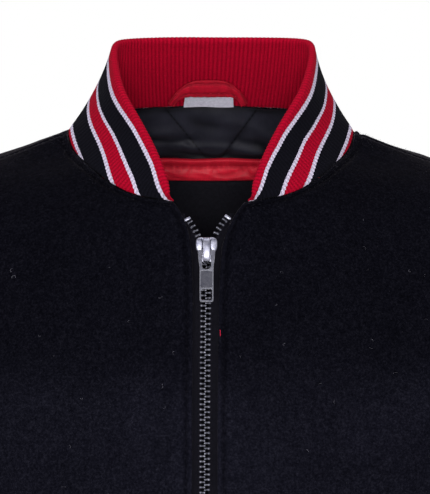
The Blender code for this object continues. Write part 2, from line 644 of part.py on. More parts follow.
CHAIN_HALF, CHAIN_THICK = 2.9, 2.4
ROW_HALF = 1.45
TAPE_DEEP = CLOTH + LAY + 0.15
MID = TAPE_DEEP + TAPE / 2
SLIDER_TOP, SLIDER_END = -51.5, -64.5
ZIP_END = -479.5


def deep(z):
    """The tape lies behind the melton above, behind the thicker rib at the hem."""
    return (TAPE_DEEP + 0.8 * float(np.interp(z, [-53.0, -43.0], [0.0, 1.0]))
            + (RIB - CLOTH) * float(np.interp(-z, [421.0, 431.5], [0.0, 1.0])))


def tape_rows():
    zs = [-40.5, -43.3, -44.5, -46.0, -47.5, -49.0, -51.3, -52.5] + [z for z in ZP[:, 0, 2] if -479.0 < z < -55.0] + [ZIP_END + 1.0]
    g = []
    for z in zs:
        x0 = max(CHAIN_HALF + LAY, (teeth_x(z) + ROW_HALF + LAY + (0.5 if z > -44.0 else 0.0)) if z > -52.5 else 0.0)
        x1 = max(gape(z) + 7.0, 13.0)
        row = []
        for w in (0.0, 0.5, 1.0):
            p_, n_ = behind(x0 + (x1 - x0) * w, z, deep(z))
            row.append((p_, n_))
        g.append(row)
    p = np.array([[c_[0] for c_ in r_] for r_ in g])
    n = np.array([[c_[1] for c_ in r_] for r_ in g])
    return p, p - n * TAPE


def bar_rows(zs, xa, xb, thick, mid):
    """A flat bar along the zip: xa, xb = its sides as functions of height."""
    o, i_ = [], []
    for z in zs:
        ro, ri = [], []
        for x in (xa(z), xb(z)):
            p_, n_ = behind(abs(x), z, mid(z))
            p_ = p_ * [1 if x >= 0 else -1, 1, 1]
            ro.append(p_ + n_ * thick / 2)
            ri.append(p_ - n_ * thick / 2)
        o.append(ro)
        i_.append(ri)
    return np.array(o), np.array(i_)


tape_mat = material("zip_tape", (0.010, 0.010, 0.013), 0.9)
metal = material("antique_steel", STEEL, 0.38, 1.0)
tp, tq = tape_rows()
for side, end in ((1, "left"), (-1, "right")):
    mk = np.array([side, 1.0, 1.0])
    solid("zip_tape_" + end, lean(tp * mk), lean(tq * mk), False, tape_mat)


def middle(z):
    return deep(z) + TAPE / 2


zs = [SLIDER_END - 0.2] + [z for z in ZP[:, 0, 2] if ZIP_END + 9.0 < z < -70.0] + [ZIP_END + 7.5]
a, b2 = bar_rows(zs, lambda z: -CHAIN_HALF, lambda z: CHAIN_HALF, CHAIN_THICK, middle)
solid("zip_chain", lean(a), lean(b2), False, metal, 30.0)
a, b2 = bar_rows([ZIP_END + 7.2, ZIP_END], lambda z: -3.0, lambda z: 3.0, 3.0, middle)
solid("zip_box", lean(a), lean(b2), False, metal, 30.0)
zs = [-43.4, -44.5, -46.0, -47.5, -49.0, -51.3]
a, b2 = bar_rows(zs, lambda z: teeth_x(z) - ROW_HALF, lambda z: teeth_x(z) + ROW_HALF, CHAIN_THICK, middle)
a1, b1 = bar_rows([-41.4, -43.1], lambda z: teeth_x(z) - 1.7, lambda z: teeth_x(z) + 1.7, 2.8, middle)
for side, end in ((1, "left"), (-1, "right")):
    mk = np.array([side, 1.0, 1.0])
    solid("teeth_" + end, lean(a * mk), lean(b2 * mk), False, metal, 30.0)
    solid("top_stop_" + end, lean(a1 * mk), lean(b1 * mk), False, metal, 30.0)

# slider: body round the chain, with the crown that the tab hangs from; it is set
# out in its own frame: x across, a along the zip from the tab's axis, b forwards
AXIS_Z = -59.0
above, below = lean(behind(0.0, -52.5, MID)[0]), lean(behind(0.0, -64.5, MID)[0])
zip_up = unit((above - below) * [0.0, 1.0, 1.0])
base_p = below + (above - below) * ((AXIS_Z + 64.5) / 12.0)
base_n = np.array([0.0, -zip_up[2], zip_up[1]])
BODY_HALF = 2.9      # half the depth of the slider's body
AXIS_B = BODY_HALF + 1.7


def on_zip(x, a_, b_):
    return base_p + np.array([x, 0.0, 0.0]) + zip_up * a_ + base_n * b_


def prism(name, outline, b0, b1, mat, place):
    """Plate with an outline in x and a, between two depths."""
    n = len(outline)
    verts = [place(x, a_, b0) for x, a_ in outline] + [place(x, a_, b1) for x, a_ in outline]
    faces = [tuple(range(n)), tuple(range(2 * n - 1, n - 1, -1))]
    faces += [(k, n + k, n + (k + 1) % n, (k + 1) % n) for k in range(n)]
    return body(name, verts, faces, mat, 30.0)


def settle(ob, name):
    """Bakes an object's modifiers into its mesh."""
    dg = bpy.context.evaluated_depsgraph_get()
    me = bpy.data.meshes.new_from_object(ob.evaluated_get(dg))
    ob.modifiers.clear()
    ob.data = me
    ob.data.name = name


BODY = [(-2.6, 7.3), (-4.2, 7.1), (-5.1, 6.0), (-5.1, 3.2), (-4.5, 0.8), (-4.0, -2.0), (-3.9, -5.3),
        (3.9, -5.3), (4.0, -2.0), (4.5, 0.8), (5.1, 3.2), (5.1, 6.0), (4.2, 7.1), (2.6, 7.3)]
# crown seen from the side: (along, forwards from the body's face)
CROWN = [(6.4, -0.4), (6.4, 2.1), (5.4, 3.4), (3.4, 3.9), (-0.6, 3.9), (-2.6, 3.6), (-3.6, 2.6), (-3.6, -0.4),
         (-2.7, -0.4), (-2.7, 2.2), (-2.0, 2.9), (-0.4, 3.05), (3.0, 3.05), (4.8, 2.6), (5.4, 1.9), (5.4, -0.4)]
CORE = [(-2.6, 7.0), (-2.6, -5.0), (2.6, -5.0), (2.6, 7.0)]
slider = prism("zip_slider", BODY, 1.3, BODY_HALF, metal, on_zip)
joins = [prism("back_plate", BODY, -3.7, -2.5, metal, on_zip),
         prism("core_post", CORE, -2.8, 1.6, metal, on_zip)]
nc = len(CROWN)
crown = body("crown", [on_zip(x, a_, BODY_HALF + b_) for x in (-1.6, 1.6) for a_, b_ in CROWN],
             [tuple(range(nc)), tuple(range(2 * nc - 1, nc - 1, -1))]
             + [(k, nc + k, nc + (k + 1) % nc, (k + 1) % nc) for k in range(nc)], metal, 30.0)
joins.append(crown)
for k, tool in enumerate(joins):
    mod = slider.modifiers.new("join%d" % k, "BOOLEAN")
    mod.operation, mod.solver, mod.object = "UNION", "EXACT", tool
settle(slider, "zip_slider")
for tool in joins:
    bpy.data.objects.remove(tool, do_unlink=True)

# pull tab: plate with two windows; its top bar turns under the crown about X
TAB_LONG = 23.7
TAB_THICK = 1.5
axis_p = on_zip(0.0, 0.0, AXIS_B)


def on_tab(x, a_, b_):
    return np.array([x, 0.0, 0.0]) + zip_up * a_ + base_n * b_


OUT = [(-3.9, 0.6), (-3.6, 0.85), (3.6, 0.85), (3.9, 0.6), (4.0, -1.6), (3.3, -5.0), (3.2, -8.0), (3.2, -TAB_LONG + 0.8),
       (2.5, -TAB_LONG), (-2.5, -TAB_LONG), (-3.2, -TAB_LONG + 0.8), (-3.2, -8.0), (-3.3, -5.0), (-4.0, -1.6)]
HOLE1 = [(-2.1, -0.85), (2.1, -0.85), (2.1, -8.1), (-2.1, -8.1)]
HOLE2 = [(-2.1, -17.7), (2.1, -17.7), (2.1, -22.5), (-2.1, -22.5)]
tab = prism("pull_tab", OUT, -TAB_THICK / 2, TAB_THICK / 2, material("tab_steel", STEEL, 0.4, 1.0), on_tab)
tools = [prism("window_tool_a", HOLE1, -3.0, 3.0, metal, on_tab), prism("window_tool_b", HOLE2, -3.0, 3.0, metal, on_tab)]
for k, tool in enumerate(tools):
    mod = tab.modifiers.new("window%d" % k, "BOOLEAN")
    mod.operation, mod.solver, mod.object = "DIFFERENCE", "EXACT", tool
settle(tab, "pull_tab")
for tool in tools:
    bpy.data.objects.remove(tool, do_unlink=True)
tab.location = tuple(axis_p * MM)
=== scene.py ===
# Varsity jacket for a child of 6 to 7 years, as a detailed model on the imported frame.
# Sizes are in millimetres and are turned into metres where a mesh is made.
# +Z up, the front faces -Y, the wearer's left side is at +X.
import math

import bpy
import numpy as np
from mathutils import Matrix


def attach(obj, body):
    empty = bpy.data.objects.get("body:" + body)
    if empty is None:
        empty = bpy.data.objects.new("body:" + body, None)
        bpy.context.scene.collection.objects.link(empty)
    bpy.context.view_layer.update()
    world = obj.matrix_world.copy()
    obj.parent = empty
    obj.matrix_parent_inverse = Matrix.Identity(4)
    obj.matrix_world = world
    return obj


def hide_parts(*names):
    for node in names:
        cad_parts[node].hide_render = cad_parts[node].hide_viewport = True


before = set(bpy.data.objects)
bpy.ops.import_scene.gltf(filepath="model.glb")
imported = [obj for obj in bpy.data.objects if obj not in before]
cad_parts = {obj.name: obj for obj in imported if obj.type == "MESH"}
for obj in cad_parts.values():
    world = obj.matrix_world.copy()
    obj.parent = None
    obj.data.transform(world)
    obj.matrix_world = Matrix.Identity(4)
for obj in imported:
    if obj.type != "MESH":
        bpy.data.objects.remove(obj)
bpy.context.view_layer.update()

MM = 0.001
CLOTH, RIB, LINING, TAPE, LAY = 2.0, 4.0, 3.0, 0.8, 0.3


def rows(names, data):
    """A table with named columns."""
    a = np.array(data, float)
    return {n: a[:, k] for k, n in enumerate(names.split())}


# Collar: one row per rib line, from the front end (s 0) over the side neck point
# (s 1) to the centre back (s 2).  m = centre of the rounded fold, n = neck seam,
# dip = how far the outer face sinks below the straight line between them.
COLLAR = rows("s mx my mz nx ny nz dip", [
    (0.000, 19.0, -70.6, -33.0, 17.8, -70.0, -35.0, 0.0),
    (0.080, 20.3, -69.3, -30.2, 24.5, -66.0, -33.8, 0.0),
    (0.190, 21.6, -67.8, -27.0, 33.4, -60.0, -32.2, 0.0),
    (0.380, 24.2, -64.3, -19.3, 46.0, -49.5, -27.0, 0.2),
    (0.520, 27.5, -59.5, -11.3, 53.5, -40.0, -21.8, 0.4),
    (0.650, 31.0, -55.5,  -4.0, 59.3, -31.0, -16.6, 0.6),
    (0.780, 36.5, -49.5,   6.0, 64.6, -21.0, -12.0, 1.0),
    (0.890, 41.5, -42.5,  14.5, 68.2, -13.0,  -7.0, 1.4),
    (1.000, 45.2, -34.0,  23.0, 70.1,  -5.0,  -0.5, 1.8),
    (1.115, 47.7, -21.0,  33.5, 69.3,   5.0,   4.2, 2.0),
    (1.240, 47.8, -10.0,  40.8, 64.0,  15.0,   8.0, 1.8),
    (1.400, 42.5,  -1.0,  43.6, 53.5,  26.0,  12.0, 1.2),
    (1.600, 29.5,   8.0,  44.5, 37.0,  37.0,  14.6, 0.6),
    (1.800, 15.0,  12.3,  44.9, 19.0,  43.5,  15.8, 0.3),
    (2.000,  0.0,  14.0,  45.0,  0.0,  46.0,  16.2, 0.2),
])

# Front: one row per section, from the neck (0) past the shoulder tip (3) and the
# underarm (7) to the hem seam (12).  cy cz = centre front, ex ey ez = outer edge
# (shoulder seam, armhole, side seam), tx ty tz = way the section runs over that
# edge, kc ke = fullness at the centre and at the edge.
FRONT = rows("cy cz ex ey ez tx ty tz kc ke", [
    (-71.0,  -35.5,  70.1,  -5.0,  -0.5, 0.10, 0.92, 0.35, 0.50, 0.50),
    (-78.0,  -62.0, 100.0,  -5.0, -12.0, 0.04, 0.97, 0.20, 0.50, 0.50),
    (-84.0,  -90.0, 132.0,  -4.0, -22.6, 0.04, 0.98, 0.18, 0.52, 0.52),
    (-89.0, -120.0, 163.0,  -3.0, -34.0, 0.20, 0.97, 0.14, 0.54, 0.52),
    (-92.5, -148.0, 161.0, -34.0, -69.0, 0.50, 0.86, 0.05, 0.55, 0.50),
    (-95.0, -174.0, 153.0, -47.0, -113.0, 0.50, 0.86, 0.00, 0.56, 0.45),
    (-96.0, -200.0, 148.5, -39.0, -164.0, 0.35, 0.94, 0.00, 0.57, 0.50),
    (-96.0, -226.0, 150.0,  -5.0, -203.0, 0.00, 1.00, 0.00, 0.60, 0.58),
    (-95.5, -280.0, 151.0,  -5.0, -265.0, 0.00, 1.00, 0.00, 0.60, 0.58),
    (-94.5, -335.0, 151.0,  -5.0, -328.0, 0.00, 1.00, 0.00, 0.60, 0.58),
    (-92.5, -388.0, 150.0,  -5.0, -386.0, 0.00, 1.00, 0.00, 0.60, 0.58),
    (-88.0, -418.0, 143.0,  -5.0, -417.0, 0.00, 1.00, 0.00, 0.60, 0.58),
    (-80.0, -432.0, 131.0,  -5.0, -432.0, 0.00, 1.00, 0.00, 0.60, 0.58),
])
BACK = rows("cy cz ex ey ez tx ty tz kc ke", [
    (46.0,    16.2,  70.1,  -5.0,  -0.5, 0.10, 0.92, 0.35, 0.50, 0.50),
    (61.0,    -9.0, 100.0,  -5.0, -12.0, 0.04, 0.97, 0.20, 0.55, 0.45),
    (70.0,   -34.0, 132.0,  -4.0, -22.6, 0.04, 0.98, 0.18, 0.56, 0.48),
    (76.5,   -64.0, 163.0,  -3.0, -34.0, -0.28, 0.95, 0.02, 0.56, 0.44),
    (80.5,   -97.0, 161.5,  27.0, -69.0, -0.42, 0.90, 0.00, 0.56, 0.45),
    (83.0,  -132.0, 154.0,  42.0, -113.0, -0.50, 0.86, 0.00, 0.56, 0.45),
    (84.5,  -170.0, 149.5,  33.0, -164.0, -0.35, 0.94, 0.00, 0.57, 0.50),
    (85.0,  -208.0, 150.0,  -5.0, -203.0, 0.00, 1.00, 0.00, 0.60, 0.58),
    (85.0,  -270.0, 151.0,  -5.0, -265.0, 0.00, 1.00, 0.00, 0.60, 0.58),
    (84.5,  -331.0, 151.0,  -5.0, -328.0, 0.00, 1.00, 0.00, 0.60, 0.58),
    (83.0,  -387.0, 150.0,  -5.0, -386.0, 0.00, 1.00, 0.00, 0.60, 0.58),
    (79.0,  -418.0, 143.0,  -5.0, -417.0, 0.00, 1.00, 0.00, 0.60, 0.58),
    (71.0,  -432.0, 131.0,  -5.0, -432.0, 0.00, 1.00, 0.00, 0.60, 0.58),
])
SWAY = 1.2           # the collar's top stands this far towards the wearer's left
TIP, UNDERARM, HEM = 3.0, 7.0, 12.0
LEVELS = np.concatenate([
    np.array([0.0, 0.22, 0.5, 0.9, 1.5, 2.2]),
    np.linspace(TIP, UNDERARM, 9)[:-1],
    np.array([7.0, 8.0, 9.0, 9.9, 10.6, 11.2, 11.7, 12.0]),
])

# Centre front edge: half the width of the zip gap at each height.
GAPE = rows("z half", [
    (-482.0, 5.7), (-110.0, 5.7), (-80.0, 5.8), (-64.0, 6.1), (-56.0, 6.7),
    (-50.0, 7.8), (-46.0, 9.2), (-42.0, 11.2), (-39.0, 13.0), (-36.5, 15.4), (-35.0, 17.8),
])
# The zip does not hang quite plumb: how far its line stands off the middle.
LEAN = rows("z off", [
    (-482.0, -2.0), (-300.0, -2.8), (-172.0, -2.9), (-60.0, -2.1), (-36.0, -1.0), (0.0, 0.0),
])
# Open teeth above the slider: distance of a row of teeth from the zip line.
OPEN = rows("z x", [(-52.5, 3.5), (-50.0, 4.3), (-47.5, 5.6), (-45.0, 7.2), (-42.0, 9.4)])

# Sleeve: one row per ring below the underarm.  c = centre, ro = half width across
# (towards the side), rf = half width from front to back.
SLEEVE = rows("cx cy cz ro rf", [
    (203.0,  -5.0, -190.0, 51.5, 50.0),
    (213.5,  -6.5, -226.0, 50.0, 49.0),
    (225.0,  -9.5, -268.0, 47.0, 47.5),
    (236.5, -13.5, -310.0, 45.0, 45.5),
    (246.5, -18.0, -346.0, 43.0, 43.5),
    (253.5, -21.0, -371.0, 39.0, 39.5),
    (257.5, -22.5, -385.0, 29.0, 29.5),
])
CUFF = rows("cx cy cz ro rf", [
    (257.5, -22.5, -385.0, 29.0, 29.5),
    (259.2, -23.2, -391.0, 27.4, 27.8),
    (265.5, -26.0, -414.0, 26.6, 27.0),
    (271.5, -28.7, -436.0, 26.0, 26.4),
])
# Soft folds of the sleeve: along = ring number, turn = degrees from the outer side
# towards the front, size = height of the ridge, wide = its width in rings.
FOLDS = rows("along turn size wide", [
    (1.6, 150.0, 3.0, 0.30),
    (2.3, 120.0, 2.4, 0.28),
    (4.5, 20.0, 2.2, 0.30),
])
# Hem rib: how far below the hem seam, how much narrower, per section.
HEMRIB = rows("down scale", [(0.0, 1.0), (3.0, 0.985), (26.0, 0.965), (50.0, 0.955)])


# ---------------------------------------------------------------- curves


def smooth(x, xs, ys):
    """Curve through the rows of a table that never overshoots them."""
    x, xs, ys = (np.asarray(a, float) for a in (x, xs, ys))
    h = np.diff(xs)
    d = np.diff(ys) / h
    m = np.zeros_like(ys)
    m[0], m[-1] = d[0], d[-1]
    for k in range(1, len(xs) - 1):
        if d[k - 1] * d[k] > 0:
            w1, w2 = 2 * h[k] + h[k - 1], h[k] + 2 * h[k - 1]
            m[k] = (w1 + w2) / (w1 / d[k - 1] + w2 / d[k])
    k = np.clip(np.searchsorted(xs, x, side="right") - 1, 0, len(h) - 1)
    t = (x - xs[k]) / h[k]
    t = np.clip(t, 0.0, 1.0)
    a, b = ys[k], ys[k + 1]
    p, q = m[k] * h[k], m[k + 1] * h[k]
    return ((2 * t**3 - 3 * t**2 + 1) * a + (t**3 - 2 * t**2 + t) * p
            + (3 * t**2 - 2 * t**3) * b + (t**3 - t**2) * q)


def spline(x, xs, ys):
    """Natural cubic spline through the rows of a table."""
    x, xs, ys = (np.asarray(a, float) for a in (x, xs, ys))
    n = len(xs)
    h = np.diff(xs)
    a = np.eye(n)
    r = np.zeros(n)
    for k in range(1, n - 1):
        a[k, k - 1:k + 2] = h[k - 1], 2 * (h[k - 1] + h[k]), h[k]
        r[k] = 6 * ((ys[k + 1] - ys[k]) / h[k] - (ys[k] - ys[k - 1]) / h[k - 1])
    m = np.linalg.solve(a, r)
    k = np.clip(np.searchsorted(xs, x, side="right") - 1, 0, n - 2)
    t0, t1 = xs[k + 1] - x, x - xs[k]
    return ((m[k] * t0**3 + m[k + 1] * t1**3) / (6 * h[k])
            + (ys[k] / h[k] - m[k] * h[k] / 6) * t0 + (ys[k + 1] / h[k] - m[k + 1] * h[k] / 6) * t1)


def unit(v):
    return v / np.maximum(np.linalg.norm(v, axis=-1, keepdims=True), 1e-9)


def collar_rows(s):
    """Fold centre, neck seam and dip all round the neck; s runs 0 to 4."""
    s = np.asarray(s, float)
    t = COLLAR
    ss = np.concatenate([t["s"], 4.0 - t["s"][-2::-1]])
    out = []
    for n in ("mx", "my", "mz", "nx", "ny", "nz", "dip"):
        sign = -1.0 if n in ("mx", "nx") else 1.0
        out.append(spline(s, ss, np.concatenate([t[n], sign * t[n][-2::-1]])))
    out[0] = out[0] + SWAY * np.clip(out[2] / 45.0, 0.0, 1.0)
    return np.stack(out[:3], -1), np.stack(out[3:6], -1), out[6]


def section(tab, u, v, sign):
    """Point u (0 centre, 1 outer edge) of the body section at level v."""
    c = {n: smooth(v, np.arange(len(tab["cy"])), tab[n]) for n in tab}
    u, v = np.broadcast_arrays(np.asarray(u, float), np.asarray(v, float))
    zero = 0.0 * c["cy"]
    p0 = np.stack([zero, c["cy"], c["cz"]], -1)
    p3 = np.stack([c["ex"], c["ey"], c["ez"]], -1)
    turn = unit(np.stack([c["tx"], c["ty"], c["tz"]], -1))
    p1 = p0 + np.stack([c["kc"] * c["ex"], zero, zero], -1)
    p2 = p3 + sign * turn * (c["ke"] * np.abs(c["ey"] - c["cy"]))[..., None]
    w = u[..., None]
    return (1 - w)**3 * p0 + 3 * w * (1 - w)**2 * p1 + 3 * w**2 * (1 - w) * p2 + w**3 * p3


def fade(v, end=2.0):
    q = np.clip(np.asarray(v, float) / end, 0.0, 1.0)
    return 1 - 3 * q**2 + 2 * q**3


def start_u(v):
    """Where a front section begins, at the edge of the zip gap."""
    us = np.linspace(0.0, 0.5, 201)
    x = section(FRONT, us, np.full_like(us, v), -1)[:, 0]
    z = float(smooth(v, np.arange(13), FRONT["cz"]))
    return float(np.interp(float(smooth(z, GAPE["z"], GAPE["half"])), x, us))


U0 = {}


def front_at(t, v):
    """Front cloth: t 0 at the centre front edge, 1 at the outer edge (may be < 0)."""
    key = round(float(v), 6)
    if key not in U0:
        U0[key] = start_u(key)
    if 0.0 not in U0:
        U0[0.0] = start_u(0.0)
    t = np.asarray(t, float)
    vv = np.full_like(t, v)
    p = section(FRONT, U0[key] + (1 - U0[key]) * t, vv, -1)
    tc = np.clip(t, 0.0, 1.0)
    neck = collar_rows(tc)[1]
    base = section(FRONT, U0[0.0] + (1 - U0[0.0]) * tc, np.zeros_like(t), -1)
    return p + fade(v) * (neck - base)


def back_at(t, v):
    """Back cloth: t 0 at the centre back, 1 at the outer edge, x > 0 side."""
    t = np.asarray(t, float)
    p = section(BACK, t, np.full_like(t, v), 1)
    neck = collar_rows(2.0 - t)[1]
    base = section(BACK, t, np.zeros_like(t), 1)
    return p + fade(v) * (neck - base)


def lean(p):
    """Moves the strip along the zip sideways to the line it hangs on."""
    p = np.array(p, float)
    off = smooth(p[..., 2], LEAN["z"], LEAN["off"])
    q = np.clip(1 - (p[..., 0] / 75.0)**2, 0.0, 1.0)**2
    f = np.clip((-20.0 - p[..., 1]) / 25.0, 0.0, 1.0)
    p[..., 0] += off * q * (3 * f**2 - 2 * f**3)
    return p




# ---------------------------------------------------------------- meshes

def vert_normals(g, wrap=False, loop=True):
    """Normals of a lattice; axis 1 is a closed loop unless loop is False."""
    du = (np.roll(g, -1, 1) - np.roll(g, 1, 1)) if loop else np.gradient(g, axis=1)
    dv = (np.roll(g, -1, 0) - np.roll(g, 1, 0)) if wrap else np.gradient(g, axis=0)
    return unit(np.cross(dv, du))


def steps(g, axis):
    return np.linalg.norm(np.diff(g, axis=axis), axis=-1)


def add_mesh(name, verts, faces, mat, body="jacket", deg=40.0, replaces=(), smooth_shade=True):
    v = np.asarray(verts, float) * MM
    me = bpy.data.meshes.new(name)
    me.from_pydata(v.tolist(), [], faces if isinstance(faces, list) else faces.tolist())
    me.materials.append(mat)
    if smooth_shade:
        me.shade_smooth()
        me.set_sharp_from_angle(angle=math.radians(deg))
    ob = bpy.data.objects.new(name, me)
    bpy.context.scene.collection.objects.link(ob)
    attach(ob, body)
    if replaces:
        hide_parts(*replaces)
    return ob


def volume(v, q):
    a, b, c, d = (v[q[:, k]] for k in range(4))
    return float(np.sum(a * np.cross(b, c)) + np.sum(a * np.cross(c, d)))


def lattice(name, g, mat, wrap=False, knit=None, attrs=None, deg=40.0, replaces=()):
    """Closed skin from loops of points (axis 1); the ends of axis 0 are joined or
    capped.  knit = (u per row, v per point): the cloth's own rib and row numbers."""
    n, m = g.shape[:2]
    r_ = n if wrap else n - 1
    i, j = np.arange(r_)[:, None], np.arange(m)[None, :]
    i2, j2 = (i + 1) % n, (j + 1) % m
    quads = np.stack([i * m + j, i * m + j2, i2 * m + j2, i2 * m + j], -1).reshape(-1, 4)
    ci, cj = np.broadcast_arrays(i, j)
    corner_i = np.stack([ci, ci, ci + 1, ci + 1], -1).reshape(-1, 4)
    corner_j = np.stack([cj, cj + 1, cj + 1, cj], -1).reshape(-1, 4)
    cl = np.concatenate([g, g[:, :1]], 1)
    cu = np.concatenate([[0.0], np.cumsum(steps(cl, 1).mean(0))])
    cu /= cu[-1]
    rl = np.concatenate([g, g[:1]], 0) if wrap else g
    cv = np.concatenate([[0.0], np.cumsum(steps(rl, 0).mean(1))])
    cv = 0.02 + 0.96 * cv / cv[-1]
    bake = np.stack([cu[corner_j], cv[corner_i]], -1)
    if not wrap:
        k = np.arange(m // 2 - 1)
        for row, flip, lo_, hi_ in ((0, True, 0.0, 0.01), (n - 1, False, 0.99, 1.0)):
            q = np.stack([k, k + 1, m - 2 - k, m - 1 - k], -1) + row * m
            uv = np.stack([np.stack([cu[k], 0 * k + hi_], -1), np.stack([cu[k + 1], 0 * k + hi_], -1),
                           np.stack([cu[k + 1], 0 * k + lo_], -1), np.stack([cu[k], 0 * k + lo_], -1)], 1)
            kj = np.stack([k, k + 1, m - 2 - k, m - 1 - k], -1)
            if flip:
                q, uv, kj = q[:, ::-1], uv[:, ::-1], kj[:, ::-1]
            quads = np.concatenate([quads, q])
            bake = np.concatenate([bake, uv])
            corner_i = np.concatenate([corner_i, 0 * kj + row])
            corner_j = np.concatenate([corner_j, kj])
    flat = g.reshape(-1, 3)
    if volume(flat, quads) < 0:
        quads, bake, corner_i, corner_j = quads[:, ::-1], bake[:, ::-1], corner_i[:, ::-1], corner_j[:, ::-1]
    ob = add_mesh(name, flat, quads, mat, deg=deg, replaces=replaces)
    me = ob.data
    layer_ = me.uv_layers.new(name="OFBake")
    layer_.data.foreach_set("uv", np.ascontiguousarray(bake).reshape(-1))
    if knit is not None:
        u, v = knit
        u = np.concatenate([u, [2 * u[-1] - u[-2]]])
        v = np.concatenate([v, v[:, :1]], 1)
        v = np.concatenate([v, v[:1] if wrap else v[-1:]], 0)
        kv = np.stack([u[corner_i], v[corner_i, corner_j]], -1)
        layer_ = me.uv_layers.new(name="knit")
        layer_.data.foreach_set("uv", kv.reshape(-1))
    for key, val in (attrs or {}).items():
        at = me.attributes.new(key, "FLOAT", "POINT")
        at.data.foreach_set("value", np.ascontiguousarray(val, dtype=np.float32).reshape(-1))
    return ob


def wall(p, n, thick, k=6, ends=(1.0, 1.0), inner_extra=0.0):
    """Loops round a wall: outer points, rounded edge, inner points, rounded edge.
    Returns the loops and, for each loop point, the column of p that it belongs to."""
    q = p - n * (thick + inner_extra)
    rows_, m = p.shape[:2]

    def edge(a, b, before, bulge):
        c, h = (a + b) / 2, (a - b) / 2
        e = unit(a - before)
        hn = np.linalg.norm(h, axis=-1, keepdims=True)
        e = unit(e - h * np.sum(e * h, -1, keepdims=True) / np.maximum(hn, 1e-6)**2)
        t = np.pi * (np.arange(k) + 1) / (k + 1)
        return c[:, None] + h[:, None] * np.cos(t)[None, :, None] + (e * hn * bulge)[:, None] * np.sin(t)[None, :, None]

    last = edge(p[:, -1], q[:, -1], p[:, -2], ends[1])
    first = edge(q[:, 0], p[:, 0], q[:, 1], ends[0])
    loops = np.concatenate([first[:, k // 2:], p, last, q[:, ::-1], first[:, :k // 2]], 1)
    cols = np.concatenate([[0] * (k - k // 2), np.arange(m), [m - 1] * k, np.arange(m)[::-1], [0] * (k // 2)])
    return loops, cols.astype(int)


def bump1(x, w):
    return np.exp(-(np.asarray(x) / w)**2)


def creases(a, b, table, sa=1.0, sb=1.0, back=0.0):
    """Height of soft creases: each row = start, end, half width, height (below 0 a
    trough); a crease swells in the middle of its length and dies out at its ends."""
    h = 0.0 * a
    for a0, b0, a1, b1, w, hgt in table:
        da, db = (a1 - a0) * sa, (b1 - b0) * sb
        ln = math.hypot(da, db)
        t = ((a - a0) * sa * da + (b - b0) * sb * db) / ln**2
        d = ((a - a0) * sa * db - (b - b0) * sb * da) / ln
        bend = 0.12 * ln * np.clip(t * (1 - t), 0, 1) * 4 * (1 if hgt > 0 else -1) * 0.5
        s = np.clip(t, -0.25, 1.25)
        end = np.clip(1 - (2 * (s - 0.5) / 1.5)**2, 0, 1)
        h = h + hgt * end**1.5 * np.exp(-((d + bend) / w)**2) * (np.abs(t - 0.5) < 0.75)
    return h


def waves(a, b, seed, count, size, lo, hi):
    """Small seeded unevenness of hand-made cloth: a sum of shallow waves."""
    rg = np.random.default_rng(seed)
    h = 0.0 * a
    for _ in range(count):
        ln = math.exp(rg.uniform(math.log(lo), math.log(hi)))
        th = rg.uniform(0, 2 * math.pi)
        h = h + np.sin(2 * math.pi * (a * math.cos(th) + b * math.sin(th)) / ln + rg.uniform(0, 6.28)) * (ln / hi)**0.5
    return size * h / math.sqrt(count)


# ---------------------------------------------------------------- materials

